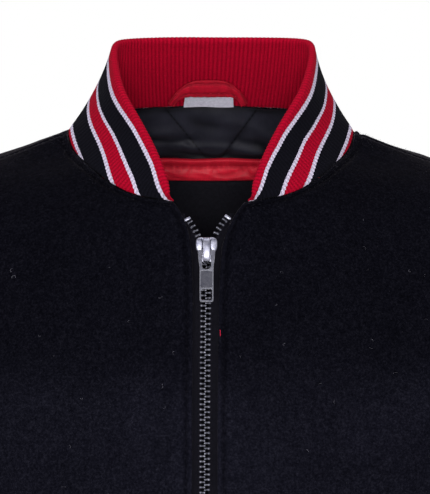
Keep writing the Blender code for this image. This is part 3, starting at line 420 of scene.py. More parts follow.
class Nodes:
    """Short hand for a node material."""

    def __init__(self, name, rough=0.8, metal=0.0, specular=0.5, sheen=0.0, sheen_rough=0.5, sheen_tint=(1, 1, 1)):
        self.m = bpy.data.materials.new(name)
        self.m.use_nodes = True
        self.t = self.m.node_tree
        self.b = self.t.nodes["Principled BSDF"]
        i = self.b.inputs
        i["Roughness"].default_value = rough
        i["Metallic"].default_value = metal
        i["Specular IOR Level"].default_value = specular
        i["Sheen Weight"].default_value = sheen
        i["Sheen Roughness"].default_value = sheen_rough
        i["Sheen Tint"].default_value = (*sheen_tint, 1)

    def node(self, kind, **props):
        nd = self.t.nodes.new(kind)
        for k, v in props.items():
            setattr(nd, k, v)
        return nd

    def put(self, socket, value):
        if isinstance(value, bpy.types.NodeSocket):
            self.t.links.new(value, socket)
        elif value is not None:
            socket.default_value = value

    def math(self, op, a, b=None, c=None, clamp=False):
        nd = self.node("ShaderNodeMath", operation=op, use_clamp=clamp)
        for k, v in enumerate((a, b, c)):
            self.put(nd.inputs[k], v)
        return nd.outputs[0]

    def place(self):
        return self.node("ShaderNodeTexCoord").outputs["Object"]

    def scaled(self, vec, scale, rot=(0, 0, 0)):
        nd = self.node("ShaderNodeMapping")
        self.put(nd.inputs["Vector"], vec)
        nd.inputs["Scale"].default_value = scale
        nd.inputs["Rotation"].default_value = rot
        return nd.outputs[0]

    def noise(self, vec, scale, detail=2.0, rough=0.5, distort=0.0):
        nd = self.node("ShaderNodeTexNoise")
        self.put(nd.inputs["Vector"], vec)
        nd.inputs["Scale"].default_value = scale
        nd.inputs["Detail"].default_value = detail
        nd.inputs["Roughness"].default_value = rough
        nd.inputs["Distortion"].default_value = distort
        return nd.outputs[0]

    def ramp(self, fac, stops, mode="LINEAR"):
        nd = self.node("ShaderNodeValToRGB")
        cr = nd.color_ramp
        cr.interpolation = mode
        while len(cr.elements) < len(stops):
            cr.elements.new(0.5)
        for e, (p, c) in zip(cr.elements, stops):
            e.position = p
            e.color = (*c, 1) if len(c) == 3 else c
        self.put(nd.inputs[0], fac)
        return nd.outputs[0]

    def mix(self, fac, a, b, mode="MIX"):
        nd = self.node("ShaderNodeMix", data_type="RGBA", blend_type=mode)
        self.put(nd.inputs[0], fac)
        for s, v in ((nd.inputs[6], a), (nd.inputs[7], b)):
            self.put(s, (*v, 1) if isinstance(v, tuple) and len(v) == 3 else v)
        return nd.outputs[2]

    def bump(self, height, dist, strength=1.0, normal=None):
        nd = self.node("ShaderNodeBump")
        nd.inputs["Strength"].default_value = strength
        nd.inputs["Distance"].default_value = dist * MM
        self.put(nd.inputs["Height"], height)
        if normal is not None:
            self.put(nd.inputs["Normal"], normal)
        return nd.outputs[0]

    def attr(self, name):
        return self.node("ShaderNodeAttribute", attribute_name=name).outputs["Fac"]

    def uv(self, name):
        sep = self.node("ShaderNodeSeparateXYZ")
        self.t.links.new(self.node("ShaderNodeUVMap", uv_map=name).outputs[0], sep.inputs[0])
        return sep.outputs[0], sep.outputs[1]

    def color(self, c):
        self.put(self.b.inputs["Base Color"], c)

    def normal(self, n):
        self.put(self.b.inputs["Normal"], n)


def wool_material():
    m = Nodes("wool_melton", rough=1.0, specular=0.0, sheen=0.052, sheen_rough=0.33, sheen_tint=(1.0, 0.90, 0.98))
    at = m.place()
    fine = m.noise(at, 950.0, 3.0, 0.65)
    felt = m.noise(at, 330.0, 2.0, 0.6)
    # the per-point tone holds the melton's own patches together with painted light and shade, and multiplies the colour
    nap_and_painted_shading = m.attr("nap_and_painted_shading")
    tone = m.ramp(m.math("ADD", m.math("MULTIPLY", fine, 0.74), m.math("MULTIPLY", felt, 0.26)),
                  [(0.30, (0.0009, 0.0009, 0.0016)), (0.50, (0.0024, 0.0024, 0.0041)), (0.72, (0.0061, 0.0060, 0.0093))])
    shade = m.node("ShaderNodeCombineXYZ")
    for k in range(3):
        m.put(shade.inputs[k], nap_and_painted_shading)
    m.color(m.mix(1.0, tone, shade.outputs[0], "MULTIPLY"))
    lumps = m.noise(at, 420.0, 4.0, 0.7)
    m.normal(m.bump(lumps, 0.42, 0.8))
    return m.m


RED_KNIT, WHITE_KNIT, BLACK_KNIT = (0.36, 0.0020, 0.018), (0.61, 0.55, 0.69), (0.0046, 0.0044, 0.0076)
STRIPES = [(0.0, RED_KNIT), (5.05, WHITE_KNIT), (7.45, BLACK_KNIT), (19.22, WHITE_KNIT), (21.20, RED_KNIT),
           (28.45, WHITE_KNIT), (30.50, BLACK_KNIT), (42.50, WHITE_KNIT), (44.55, RED_KNIT)]


def knit_material(name):
    """1x1 rib with coloured rows; u counts ribs, v is the way along a rib in mm."""
    m = Nodes(name, rough=0.95, specular=0.03, sheen=0.006, sheen_rough=0.4)
    u, v = m.uv("knit")
    at = m.place()
    fu = m.math("ABSOLUTE", m.math("SUBTRACT", m.math("FRACT", u), 0.5))       # 0 on the rib, .5 in the valley
    loops = m.math("SINE", m.math("MULTIPLY", m.math("ADD", v, m.math("MULTIPLY", fu, 1.1)), 2 * math.pi / 0.98))
    jit = m.math("MULTIPLY", m.math("SUBTRACT", m.noise(at, 1900.0, 1.0), 0.5), 0.55)
    t = m.math("ADD", m.math("ADD", v, m.math("MULTIPLY", m.math("SUBTRACT", fu, 0.25), 0.50)), jit)
    base = m.ramp(m.math("DIVIDE", t, 50.0), [(p / 50.0, c) for p, c in STRIPES], "CONSTANT")
    # painted shade: the rib valleys are darkened by their depth
    depth = m.attr("valley")
    dark = m.math("SUBTRACT", 1.0, m.math("MULTIPLY", depth, 0.42))
    dark = m.math("MULTIPLY", dark, m.math("ADD", 0.93, m.math("MULTIPLY", loops, 0.07)))
    fuzz = m.noise(at, 1100.0, 2.0, 0.6)
    dark = m.math("MULTIPLY", dark, m.math("ADD", 0.62, m.math("MULTIPLY", fuzz, 0.72)))
    inner_painted_light = m.math("MULTIPLY", m.math("SUBTRACT", -1.5, v), 0.12, clamp=True)   # painted light: the inner face is made brighter
    dark = m.math("MULTIPLY", dark, m.math("ADD", 1.0, m.math("MULTIPLY", inner_painted_light, 0.16)))
    shade = m.node("ShaderNodeCombineXYZ")
    for k in range(3):
        m.put(shade.inputs[k], dark)
    m.color(m.mix(1.0, base, shade.outputs[0], "MULTIPLY"))
    h = m.math("ADD", m.math("MULTIPLY", loops, 0.35), m.math("MULTIPLY", fuzz, 0.8))
    m.normal(m.bump(h, 0.16, 0.8))
    return m.m


S_QUILT = 52.0                              # distance between two rows of quilting


def lining_material():
    m = Nodes("quilted_satin", rough=0.56, specular=0.16, sheen=0.01)
    at = m.place()
    warp = m.noise(m.scaled(at, (2600.0, 300.0, 300.0)), 1.0, 1.0)
    soft = m.noise(at, 60.0, 3.0, 0.6)
    tone = m.ramp(m.math("ADD", m.math("MULTIPLY", warp, 0.35), m.math("MULTIPLY", soft, 0.65)),
                  [(0.25, (0.0085, 0.0086, 0.0138)), (0.75, (0.0200, 0.0202, 0.0310))])
    sep = m.node("ShaderNodeSeparateXYZ")
    m.put(sep.inputs[0], at)
    x_, z_ = m.math("MULTIPLY", sep.outputs[0], 1000.0), m.math("MULTIPLY", sep.outputs[2], 1000.0)
    line = 0.0
    for a, b, c in ((0.768, 0.641, 22.2 * 0.768 - 12.0 * 0.641), (0.800, -0.600, -21.5 * 0.800 + 10.4 * 0.600)):
        across = m.math("ADD", m.math("ADD", m.math("MULTIPLY", x_, a), m.math("MULTIPLY", z_, b)), c + S_QUILT / 2)
        along_ = m.math("SUBTRACT", m.math("MULTIPLY", x_, -b), m.math("MULTIPLY", z_, -a))
        off = m.math("ABSOLUTE", m.math("SUBTRACT", m.math("MODULO", m.math("ADD", across, S_QUILT * 20), S_QUILT), S_QUILT / 2))
        thin = m.math("SUBTRACT", 1.0, m.math("DIVIDE", m.math("SUBTRACT", off, 0.16), 0.30), clamp=True)
        dash = m.math("MULTIPLY", m.math("ADD", m.math("SINE", m.math("MULTIPLY", along_, 2 * math.pi / 2.4)), 0.75), 1.2, clamp=True)
        line = m.math("MAXIMUM", line, m.math("MULTIPLY", thin, m.math("ADD", 0.35, m.math("MULTIPLY", dash, 0.60))))
    # dark thread along the quilting lines; the per-point value is painted shade in wrinkles, troughs and under the neck
    # seam
    dark = m.math("MULTIPLY", m.math("SUBTRACT", 1.0, m.math("MULTIPLY", line, 0.85)),
                  m.math("SUBTRACT", 1.0, m.math("MULTIPLY", m.attr("painted_shade"), 0.72)))
    shade = m.node("ShaderNodeCombineXYZ")
    for k in range(3):
        m.put(shade.inputs[k], dark)
    m.color(m.mix(1.0, tone, shade.outputs[0], "MULTIPLY"))
    m.put(m.b.inputs["Roughness"], m.math("ADD", 0.48, m.math("MULTIPLY", soft, 0.2)))
    m.normal(m.bump(warp, 0.03, 0.6))
    return m.m


def satin_material(name, col, rough=0.40):
    m = Nodes(name, rough=rough, specular=0.20, sheen=0.02, sheen_tint=(1.0, 0.3, 0.35))
    at = m.place()
    soft = m.noise(at, 220.0, 3.0, 0.6)
    weave = m.noise(m.scaled(at, (2800.0, 400.0, 400.0)), 1.0, 1.0)
    lo_ = tuple(c * 0.70 for c in col)
    hi_ = tuple(min(c * 1.25, 1.0) for c in col)
    tone = m.ramp(m.math("ADD", m.math("MULTIPLY", soft, 0.7), m.math("MULTIPLY", weave, 0.3)), [(0.25, lo_), (0.75, hi_)])
    # painted shade: the per-point value darkens the colour and roughens the satin
    painted_shade = m.attr("painted_shade")
    m.color(m.mix(painted_shade, tone, tuple(c * k for c, k in zip(col, (0.42, 0.04, 0.26)))))
    m.put(m.b.inputs["Roughness"], m.math("ADD", rough, m.math("MULTIPLY", painted_shade, 0.45)))
    m.normal(m.bump(m.math("ADD", weave, soft), 0.06, 0.7))
    return m.m


def weave_material(name, dark, light, pitch, rough=0.85, strength=0.7, sheen=0.02):
    """Plain weave: threads over and under, pitch in mm."""
    m = Nodes(name, rough=rough, specular=0.04, sheen=sheen)
    at = m.place()
    sep = m.node("ShaderNodeSeparateXYZ")
    m.put(sep.inputs[0], at)
    k = 2 * math.pi / (pitch * MM)
    a = m.math("SINE", m.math("MULTIPLY", sep.outputs[0], k))
    b = m.math("SINE", m.math("MULTIPLY", sep.outputs[2], k))
    h = m.math("ADD", 0.5, m.math("MULTIPLY", m.math("MULTIPLY", a, b), 0.5))
    grit = m.noise(at, 700.0, 3.0, 0.6)
    f = m.math("ADD", m.math("MULTIPLY", h, 0.45), m.math("MULTIPLY", grit, 0.55))
    m.color(m.ramp(f, [(0.2, dark), (0.8, light)]))
    m.normal(m.bump(f, 0.12, strength))
    return m.m


def metal_material(name, low=0.20, high=0.50, rough=0.30, edge=None):
    """Antique silver: polished where it is rubbed, dull and dark where it is not; when edge is given, the edges take a
    lighter colour as a painted highlight.
    """
    m = Nodes(name, rough=rough, metal=1.0)
    at = m.place()
    cloud = m.noise(at, 450.0, 4.0, 0.65)
    grain = m.noise(m.scaled(at, (900.0, 900.0, 3200.0)), 1.0, 2.0)
    face_tone = m.ramp(cloud, [(0.30, (low, low * 1.01, low * 1.36)), (0.62, (high, high, high * 1.20))])
    if edge:
        # painted highlight: the edge attribute mixes in the lighter edge colour
        face_tone = m.mix(m.attr("edge"), face_tone, (edge, edge, edge * 1.08))
    m.color(face_tone)
    m.put(m.b.inputs["Roughness"], m.math("ADD", rough - 0.06, m.math("MULTIPLY", grain, 0.16)))
    m.normal(m.bump(m.math("ADD", grain, cloud), 0.02, 0.6))
    return m.m


def thread_material(name, col, shine=0.1):
    m = Nodes(name, rough=0.9, specular=shine, sheen=shine * 0.2)
    at = m.place()
    tw = m.noise(at, 3000.0, 2.0)
    m.color(m.ramp(tw, [(0.3, tuple(c * 0.7 for c in col)), (0.7, tuple(min(1.0, c * 1.3) for c in col))]))
    m.normal(m.bump(tw, 0.03, 0.6))
    return m.m


WOOL = wool_material()
COLLAR_MAT = knit_material("collar_rib")
CUFF_MAT = knit_material("cuff_rib")
HEM_MAT = knit_material("hem_rib_knit")
LINING_MAT = lining_material()
SATIN_MAT = satin_material("red_satin", (0.66, 0.010, 0.032), 0.46)
LOOP_MAT = satin_material("loop_satin", (0.44, 0.004, 0.022), 0.50)
PATCH_MAT = weave_material("patch_cloth", (0.0026, 0.0025, 0.0040), (0.0160, 0.0154, 0.0208), 0.55, sheen=0.005)
LABEL_MAT = weave_material("label_cloth", (0.42, 0.41, 0.50), (0.78, 0.77, 0.88), 0.35)
TAPE_MAT = weave_material("zip_tape", (0.0016, 0.0015, 0.0026), (0.0062, 0.0058, 0.0092), 0.7, sheen=0.002)
STEEL = metal_material("antique_steel", 0.15, 0.34, 0.36)
TEETH = metal_material("tooth_steel", 0.035, 0.125, 0.42)
TAB_STEEL = metal_material("tab_steel", 0.035, 0.085, 0.44, 0.42)
WEB_STEEL = metal_material("tab_web_steel", 0.045, 0.080, 0.66)
THREAD = thread_material("black_thread", (0.0028, 0.0026, 0.0042), 0.0)
RED_THREAD = thread_material("red_thread", (0.32, 0.01, 0.03))
NAP_HAIR = thread_material("nap_hair", (0.030, 0.029, 0.037), 0.0)
LINT = thread_material("pale_lint", (0.085, 0.082, 0.10))

# ---------------------------------------------------------------- wool panels

def spread_levels():
    return np.concatenate([
        0.012 + np.arange(14) * 0.0215,
        np.linspace(0.33, TIP, 36)[:-1],
        np.linspace(TIP, UNDERARM, 57)[:-1],
        np.linspace(UNDERARM, 11.3, 46)[:-1],
        np.linspace(11.3, 11.98, 16)])


LV = spread_levels()
NV = len(LV)
K_TIP = int(np.argmin(np.abs(LV - TIP)))
K_ARM = int(np.argmin(np.abs(LV - UNDERARM)))
TT = np.linspace(0.0, 1.0, 161)


def columns(at, v, e0, e1, near, far, count):
    """Points of one panel row: fine steps at both edges, even ones between."""
    p = at(TT, v)
    arc = np.concatenate([[0.0], np.cumsum(np.linalg.norm(np.diff(p, axis=0), axis=1))])
    a, b = e0 + near[-1], arc[-1] - e1 - far[-1]
    mid = np.linspace(a, b, count + 2)[1:-1]
    d = np.concatenate([e0 + near, mid, arc[-1] - e1 - far[::-1]])
    return at(np.interp(d, arc, TT), v), d, arc[-1]


NEAR = np.concatenate([np.arange(0, 8.1, 0.5), [9.0, 10.3, 12.0, 14.0]])
FAR = np.array([0.0, 0.7, 1.4, 2.2, 3.4, 5.0])
got = [columns(front_at, v, 1.15, 0.35, NEAR, FAR, 66) for v in LV]
FP = np.stack([x[0] for x in got])
F_IN = np.stack([x[1] for x in got])
F_OUT = np.array([x[2] for x in got])[:, None] - F_IN
NEAR_B = np.array([0.0, 2.4, 4.8])
got = [columns(back_at, v, 0.0, 0.35, NEAR_B, FAR, 74) for v in LV]
BP = np.stack([x[0] for x in got])
B_OUT = np.array([x[2] for x in got])[:, None] - np.stack([x[1] for x in got])
NF, NB = FP.shape[1], BP.shape[1]


def down(p, wide=None):
    """Distance along the cloth from the neck seam and from the hem seam."""
    s = np.concatenate([np.zeros((1, p.shape[1])), np.cumsum(steps(p, 0), 0)])
    return s + 0.35, s[-1:] - s + 0.3


F_NECK, F_HEM = down(FP)
B_NECK, B_HEM = down(BP)
FNN = vert_normals(FP, loop=False)
if FNN[NV // 2, 20, 1] > 0:
    FNN = -FNN
BNN = -vert_normals(BP, loop=False)
if BNN[NV // 2, 20, 1] < 0:
    BNN = -BNN
BNN[:, 0, 0] = 0.0
BNN = unit(BNN)


def smin(a, b, k=1.6):
    h = np.clip(0.5 + 0.5 * (b - a) / k, 0, 1)
    return b * (1 - h) + a * h - k * h * (1 - h)


def seam_profile(d):
    """Cloth next to a seam: it dips in, then stands up a little."""
    return -1.15 * bump1(d, 0.9) + 0.30 * bump1(d - 2.3, 1.5)


def topstitch(d):
    """Rolled edge, then the trough of the stitch line 3.1 from it."""
    return 0.30 * bump1(d - 1.5, 1.1) - 0.42 * bump1(d - 3.2, 0.8) - 0.30 * bump1(d - 3.2, 1.7) + 0.12 * bump1(d - 5.6, 1.5)


# Soft creases of the body.  Each row: from x z to x z, half width, height.
FRONT_CREASES = {
    1: [(128, -128, 96, -176, 7, -1.5), (141, -150, 118, -196, 6, -1.9), (139, -163, 108, -222, 8, 1.3),
        (146, -205, 121, -246, 8, -1.6), (118, -262, 60, -300, 12, 1.2), (128, -300, 78, -322, 9, -1.3),
        (104, -352, 46, -366, 9, 1.3), (132, -362, 92, -383, 7, -1.4), (60, -330, 22, -338, 8, -0.7),
        (86, -96, 66, -122, 10, -0.55), (62, -132, 47, -139, 5, -0.45), (30, -124, 34, -160, 9, 0.35),
        (24, -250, 27, -330, 8, 0.7), (76, -214, 70, -262, 12, 0.8), (22, -96, 30, -112, 9, -0.35)],
    -1: [(126, -124, 98, -170, 7, -1.3), (140, -154, 112, -204, 6, -2.0), (136, -170, 104, -214, 8, 1.1),
         (147, -212, 116, -258, 9, -1.4), (122, -270, 66, -292, 11, 1.0), (120, -312, 72, -340, 10, -1.4),
         (96, -346, 40, -372, 10, 1.2), (134, -356, 98, -372, 7, -1.2), (56, -322, 26, -342, 9, -0.8),
         (84, -92, 68, -118, 9, -0.5), (64, -133, 49, -138, 5, -0.45), (31, -121, 36, -156, 9, 0.35),
         (27, -262, 25, -348, 9, 0.7), (80, -206, 72, -256, 12, 0.7), (24, -98, 32, -116, 9, -0.3)],
}
BACK_CREASES = [
    (128, -120, 78, -160, 9, -1.7), (138, -146, 92, -206, 8, -1.8), (131, -160, 66, -232, 10, 1.3),
    (-126, -116, -84, -154, 9, -1.5), (-139, -150, -86, -198, 8, -2.0), (-130, -166, -72, -220, 10, 1.2),
    (60, -52, 12, -60, 10, 0.9), (-56, -50, -20, -64, 11, 0.8), (34, -196, -22, -206, 12, -1.0),
    (96, -262, 20, -292, 13, 1.3), (-104, -256, -34, -286, 13, 1.2), (44, -312, -52, -322, 11, -1.3),
    (118, -318, 62, -344, 9, -1.5), (-122, -310, -70, -336, 9, -1.4), (74, -358, 8, -368, 10, 1.3),
    (-88, -354, -26, -372, 9, 1.2), (6, -92, 3, -168, 14, 0.8), (-34, -366, 26, -384, 8, -1.2)]
# Gathers above the hem rib.  Each row: x, half width, length, height.
FRONT_GATHERS = [(19, 3.0, 26, -0.7), (31, 3.6, 34, 1.0), (43, 2.8, 22, -1.3), (55, 3.4, 46, 1.2), (66, 2.6, 30, -1.5),
                 (76, 3.0, 38, 1.3), (87, 2.7, 24, -1.4), (96, 3.2, 52, 1.5), (106, 2.6, 33, -1.6), (115, 3.0, 40, 1.3),
                 (124, 2.6, 28, -1.5)]
BACK_GATHERS = [(7, 3.4, 30, -1.2), (17, 3.0, 44, 1.3), (29, 3.2, 26, -1.5), (40, 2.8, 36, 1.2), (49, 2.6, 52, -1.6),
                (60, 3.2, 31, 1.4), (72, 3.0, 24, -1.3), (81, 2.7, 42, 1.4), (92, 3.3, 36, -1.6), (102, 2.6, 28, 1.2),
                (111, 3.0, 48, -1.5), (121, 2.6, 30, 1.3)]


def deeper(table, k, low=-195.0, out=100.0):
    """The folds get deeper towards the hem and the arms."""
    return [(a0, b0, a1, b1, w, hgt * (k if min(b0, b1) < low or min(abs(a0), abs(a1)) > out else 1.0))
            for a0, b0, a1, b1, w, hgt in table]


def gathers(x, d, table, sx=1.0, shift=0.0):
    h = 0.0 * x
    for x0, w, ln, hgt in table:
        sway = 2.5 * np.sin(d / 17.0 + x0)
        h = h + hgt * bump1((x - (x0 + shift) * sx - sway * np.clip(d / 30, 0, 1)) / (1 + d / 60), w) * np.exp(-(d / ln)**1.6)
    return h * (1 - 0.55 * bump1(d, 2.5))


# Nap and painted shading: the melton's own light and dark patches mixed with painted light and shade copied from its
# soft folds.  Each row: x z, half sizes, change.
NAP_AND_SHADING_PATCHES = [(-68, -26, 15, 13, -0.10), (66, -26, 15, 13, -0.10), (-80, -66, 13, 16, -0.12), (79, -68, 13, 15, -0.12),
       (-32, -142, 7, 24, 0.30), (-79, -128, 13, 6, 0.26), (100, -125, 9, 12, 0.24), (26, -160, 8, 16, 0.26),
       (-71, -160, 12, 8, -0.22), (59, -160, 13, 9, -0.22), (-58, -137, 8, 3, -0.12), (60, -137, 8, 3, -0.12),
       (-14, -150, 4, 30, 0.10), (12, -150, 4, 30, 0.10), (-46, -100, 16, 12, 0.10), (44, -104, 16, 12, 0.08),
       (70, -150, 10, 10, 0.14), (0, -230, 60, 30, 0.15), (90, -300, 40, 30, -0.12), (-95, -270, 36, 40, 0.1)]


def nap_and_painted_shading_tone(x, z, side=0.0):
    # painted light and shade: lighter below the chest and darker towards the shoulders, standing in for how the light
    # falls on the slopes
    lower = np.clip((-100.0 - z) / 38.0, 0.0, 1.0)
    lower = lower * lower * (3 - 2 * lower)
    h = 1.0 + 0.66 * lower - 0.10 * np.clip((z + 60) / 50.0, 0, 1)
    for x0, z0, a, b, k in NAP_AND_SHADING_PATCHES:
        h = h + k * np.exp(-((x - x0) / a)**2 - ((z - z0) / b)**2)
    return h * (1 + waves(x, z, 5, 10, 0.045, 9.0, 60.0))


def painted_stitch_shading(d):
    """Painted shade in the trough of the stitch line and a painted highlight on the rolled edge."""
    return 1.0 - 0.30 * bump1(d - 3.2, 1.5) + 0.14 * bump1(d - 1.2, 1.0)


def front_height(side):
    x, z = FP[..., 0] * side, FP[..., 2]
    d = smin(F_IN, F_NECK)
    h = topstitch(d)
    h = h - 0.25 * bump1(F_NECK, 0.5)
    flat_seam = 1 - 0.80 * np.clip((z + 72.0) / 24.0, 0.0, 1.0)          # pressed open over the shoulder
    h = h + seam_profile(F_OUT) * flat_seam + seam_profile(F_HEM) * (F_IN > -1)
    calm = np.clip((np.minimum(np.minimum(F_OUT, F_HEM), d) - 1.5) / 10.0, 0.0, 1.0)
    h = h + calm * creases(np.abs(x), z, deeper(FRONT_CREASES[side], 1.9))
    h = h + 1.5 * gathers(np.abs(x), F_HEM, FRONT_GATHERS, 1.0, 0.0 if side > 0 else 3.5) * np.clip((F_IN - 9.0) / 8.0, 0, 1)
    h = h + calm * waves(x, z, 11 + side, 16, 0.16, 12.0, 70.0)
    return h + waves(x, z, 21 + side, 12, 0.035, 2.6, 7.0)


panels = {}
for side, name in ((1, "left"), (-1, "right")):
    mk = np.array([side, 1.0, 1.0])
    p = (FP + FNN * front_height(side)[..., None]) * mk
    nn = vert_normals(p, loop=False)
    if np.sum(nn * (FNN * mk)) < 0:
        nn = -nn
    body_n = FNN * mk
    loops, cols = wall(p, body_n, CLOTH, k=6, ends=(1.0, 0.3))
    loops = lean(loops)
    outer = lean(p)
    # per-point tone: nap patches with painted light and shade, painted stitch shade and highlight, and a lighter strip
    # along the zip edge
    nap_and_painted_shading = nap_and_painted_shading_tone(outer[..., 0], outer[..., 2]) * painted_stitch_shading(smin(F_IN, F_NECK)) * (1 + 0.22 * np.exp(-(F_IN / 9.0)**2))
    panels[side] = (outer, nn)
    ob = lattice("wool_front_" + name, loops, WOOL, attrs={"nap_and_painted_shading": nap_and_painted_shading[:, cols]}, deg=60,
                 replaces=("front_" + name,))

def settle(p, w=1.0):
    """Behind the shoulder seam the yoke and the collar's foot sink beside the neck."""
    ax, y = np.abs(p[..., 0]), p[..., 1]
    drop = np.interp(ax, [50, 58, 64, 70, 74, 79, 84, 90, 97, 103, 109, 117], [0, 1.2, 2.6, 3.3, 2.9, 2.05, 1.2, 0.5, -0.4, -1.0, -0.8, 0])
    drop = drop + (p[..., 0] > 0) * np.interp(ax, [60, 68, 76, 90, 103, 117], [0, 0.8, 1.3, 0.8, 0.4, 0])
    a, b = np.clip((y + 4.5) / 9.0, 0, 1), np.clip((y - 18.0) / 26.0, 0, 1)
    out = p.copy()
    out[..., 2] -= drop * a * a * (3 - 2 * a) * (1 - b * b * (3 - 2 * b)) * w
    return out


# back, both halves in one piece
BG = settle(np.concatenate([BP[:, ::-1], BP[:, 1:] * [-1, 1, 1]], 1))
BN = np.concatenate([BNN[:, ::-1], BNN[:, 1:] * [-1, 1, 1]], 1)
B_SIDE = np.concatenate([B_OUT[:, ::-1], B_OUT[:, 1:]], 1)
B_NK = np.concatenate([B_NECK[:, ::-1], B_NECK[:, 1:]], 1)
B_HM = np.concatenate([B_HEM[:, ::-1], B_HEM[:, 1:]], 1)
x, z = BG[..., 0], BG[..., 2]
calm = np.clip((np.minimum(np.minimum(B_SIDE, B_HM), B_NK) - 2.0) / 14.0, 0.0, 1.0)
SOFT_BACK = calm * (creases(x, z, deeper(BACK_CREASES, 1.9, -60.0)) + waves(x, z, 31, 16, 0.22, 14.0, 90.0)) * np.clip((-z - 20) / 25.0, 0, 1)
BS = BG + BN * SOFT_BACK[..., None]                       # the form that the lining follows
flat_seam = 1 - 0.80 * np.clip((z + 72.0) / 24.0, 0.0, 1.0)
h = topstitch(B_NK) - 0.25 * bump1(B_NK, 0.5) + seam_profile(B_SIDE) * flat_seam + seam_profile(B_HM)
h = h + 1.5 * (gathers(x, B_HM, BACK_GATHERS) + gathers(-x, B_HM, BACK_GATHERS, 1.0, 4.0))
h = h + waves(x, z, 33, 12, 0.035, 2.6, 7.0)
p = BS + BN * h[..., None]
back_outer = p
loops, cols = wall(p, BN, CLOTH, k=6, ends=(0.3, 0.3))
# per-point tone: nap patches with painted light and shade, and painted stitch shade and highlight
nap_and_painted_shading = nap_and_painted_shading_tone(x * 0.8, z - 10.0) * painted_stitch_shading(B_NK)
ob = lattice("wool_back", loops, WOOL, attrs={"nap_and_painted_shading": nap_and_painted_shading[:, cols]}, deg=60, replaces=("back",))

# ---------------------------------------------------------------- sleeves

V_ARM = LV[K_TIP:K_ARM + 1]
edge_f = np.stack([front_at(np.array([1.0]), v)[0] for v in V_ARM])
edge_b = np.stack([back_at(np.array([1.0]), v)[0] for v in V_ARM])
hole = np.concatenate([edge_f, edge_b[-2:0:-1]])
NM = len(hole)
phi = 2 * np.pi * np.arange(NM) / NM


def ring(tab, k, turn, folds=None):
    """Ring k of a sleeve or cuff, square to its centre line."""
    k = float(k)
    idx = np.arange(len(tab["cx"]))
    c = np.array([float(spline(k, idx, tab[n])) for n in ("cx", "cy", "cz")])
    k0, k1 = max(k - 0.05, 0.0), min(k + 0.05, idx[-1])
    d = np.array([float(spline(k1, idx, tab[n]) - spline(k0, idx, tab[n])) for n in ("cx", "cy", "cz")])
    axis = unit(d)
    across = unit(np.array([1.0, 0.0, 0.0]) - axis * axis[0])
    fwd = np.cross(across, axis)
    if fwd[1] > 0:
        fwd = -fwd
    ro = float(smooth(k, idx, tab["ro"]))
    rf = float(smooth(k, idx, tab["rf"]))
    add = 0.0 * turn
    if folds is not None:
        for a, t, s, w in zip(folds["along"], folds["turn"], folds["size"], folds["wide"]):
            da = np.angle(np.exp(1j * (turn - math.radians(t))))
            add = add + s * math.exp(-((k - a) / w)**2) * np.exp(-(da / 0.9)**2)
    return c + (np.cos(turn) * (ro + add))[:, None] * across + (np.sin(turn) * (rf + add))[:, None] * fwd, axis


bicep, axis0 = ring(SLEEVE, 0.0, phi)
out_dir = unit(np.array([0.95, 0.0, -0.30]))
high = (1 + np.cos(phi)) / 2
start_len = 14.0 + 150.0 * high**1.2
end_len = 18.0 + 120.0 * high
start_dir = unit(out_dir + np.outer(high, [0.0, 0.0, -0.10]) + np.outer(1 - high, [0.0, 0.0, -0.5]))
rings = []
for w in np.linspace(0.0, 1.0, 31)[:-1]:
    a = (2 * w**3 - 3 * w**2 + 1) * hole + (3 * w**2 - 2 * w**3) * bicep
    a = a + (w**3 - 2 * w**2 + w) * start_dir * start_len[:, None] + (w**3 - w**2) * axis0 * end_len[:, None]
    rings.append(a)
for k in np.concatenate([np.linspace(0.0, 5.2, 62)[:-1], np.linspace(5.2, 6.0, 16)]):
    rings.append(ring(SLEEVE, k, phi, folds=FOLDS)[0])
SG = np.stack(rings)
SG[0] += unit(SG[1] - SG[0]) * 0.3
SG[-1] += unit(SG[-2] - SG[-1]) * 0.15
SNN = vert_normals(SG)
if SNN[40, 0, 0] < 0:
    SNN = -SNN
s_down = np.concatenate([np.zeros((1, NM)), np.cumsum(steps(SG, 0), 0)])
s_up = s_down[-1:] - s_down
SQ = s_down / s_down[-1:]

# Soft creases of a sleeve: from share of the length and degrees round (0 outside,
# 90 front, 180 inside) to the same; half width and height.
SLEEVE_CREASES = [
    (0.03, 168, 0.20, 118, 6, -2.2), (0.06, 150, 0.27, 98, 7, 1.6), (0.02, 200, 0.22, 246, 6, -2.0),
    (0.09, 214, 0.30, 262, 8, 1.4), (0.24, 175, 0.36, 120, 6, -1.6), (0.36, 60, 0.44, 128, 7, 1.4),
    (0.43, 40, 0.50, 118, 6, -2.1), (0.48, 62, 0.55, 140, 7, 1.8), (0.54, 86, 0.59, 158, 5, -1.8),
    (0.40, 150, 0.47, 200, 6, -1.3), (0.57, 30, 0.66, 96, 7, -1.2), (0.62, 240, 0.69, 312, 8, 1.2),
    (0.66, 118, 0.74, 60, 6, 1.4), (0.71, 150, 0.78, 96, 5, -1.7), (0.76, 20, 0.84, 82, 6, -1.4),
    (0.80, 200, 0.86, 268, 6, 1.3), (0.83, 110, 0.90, 170, 5, -1.4), (0.33, 280, 0.42, 338, 9, 1.1),
    (0.50, 262, 0.60, 322, 8, -1.2)]
WRIST_GATHERS = [(4, 7, 30, 1.5), (27, 6, 22, -1.6), (49, 7, 38, 1.4), (74, 6, 26, -1.8), (96, 7, 44, 1.6), (121, 6, 24, -1.5),
                 (143, 7, 34, 1.5), (169, 6, 28, -1.8), (192, 7, 40, 1.4), (214, 6, 22, -1.5), (239, 7, 36, 1.6), (262, 6, 28, -1.7),
                 (286, 7, 42, 1.5), (311, 6, 24, -1.6), (336, 7, 32, 1.5)]


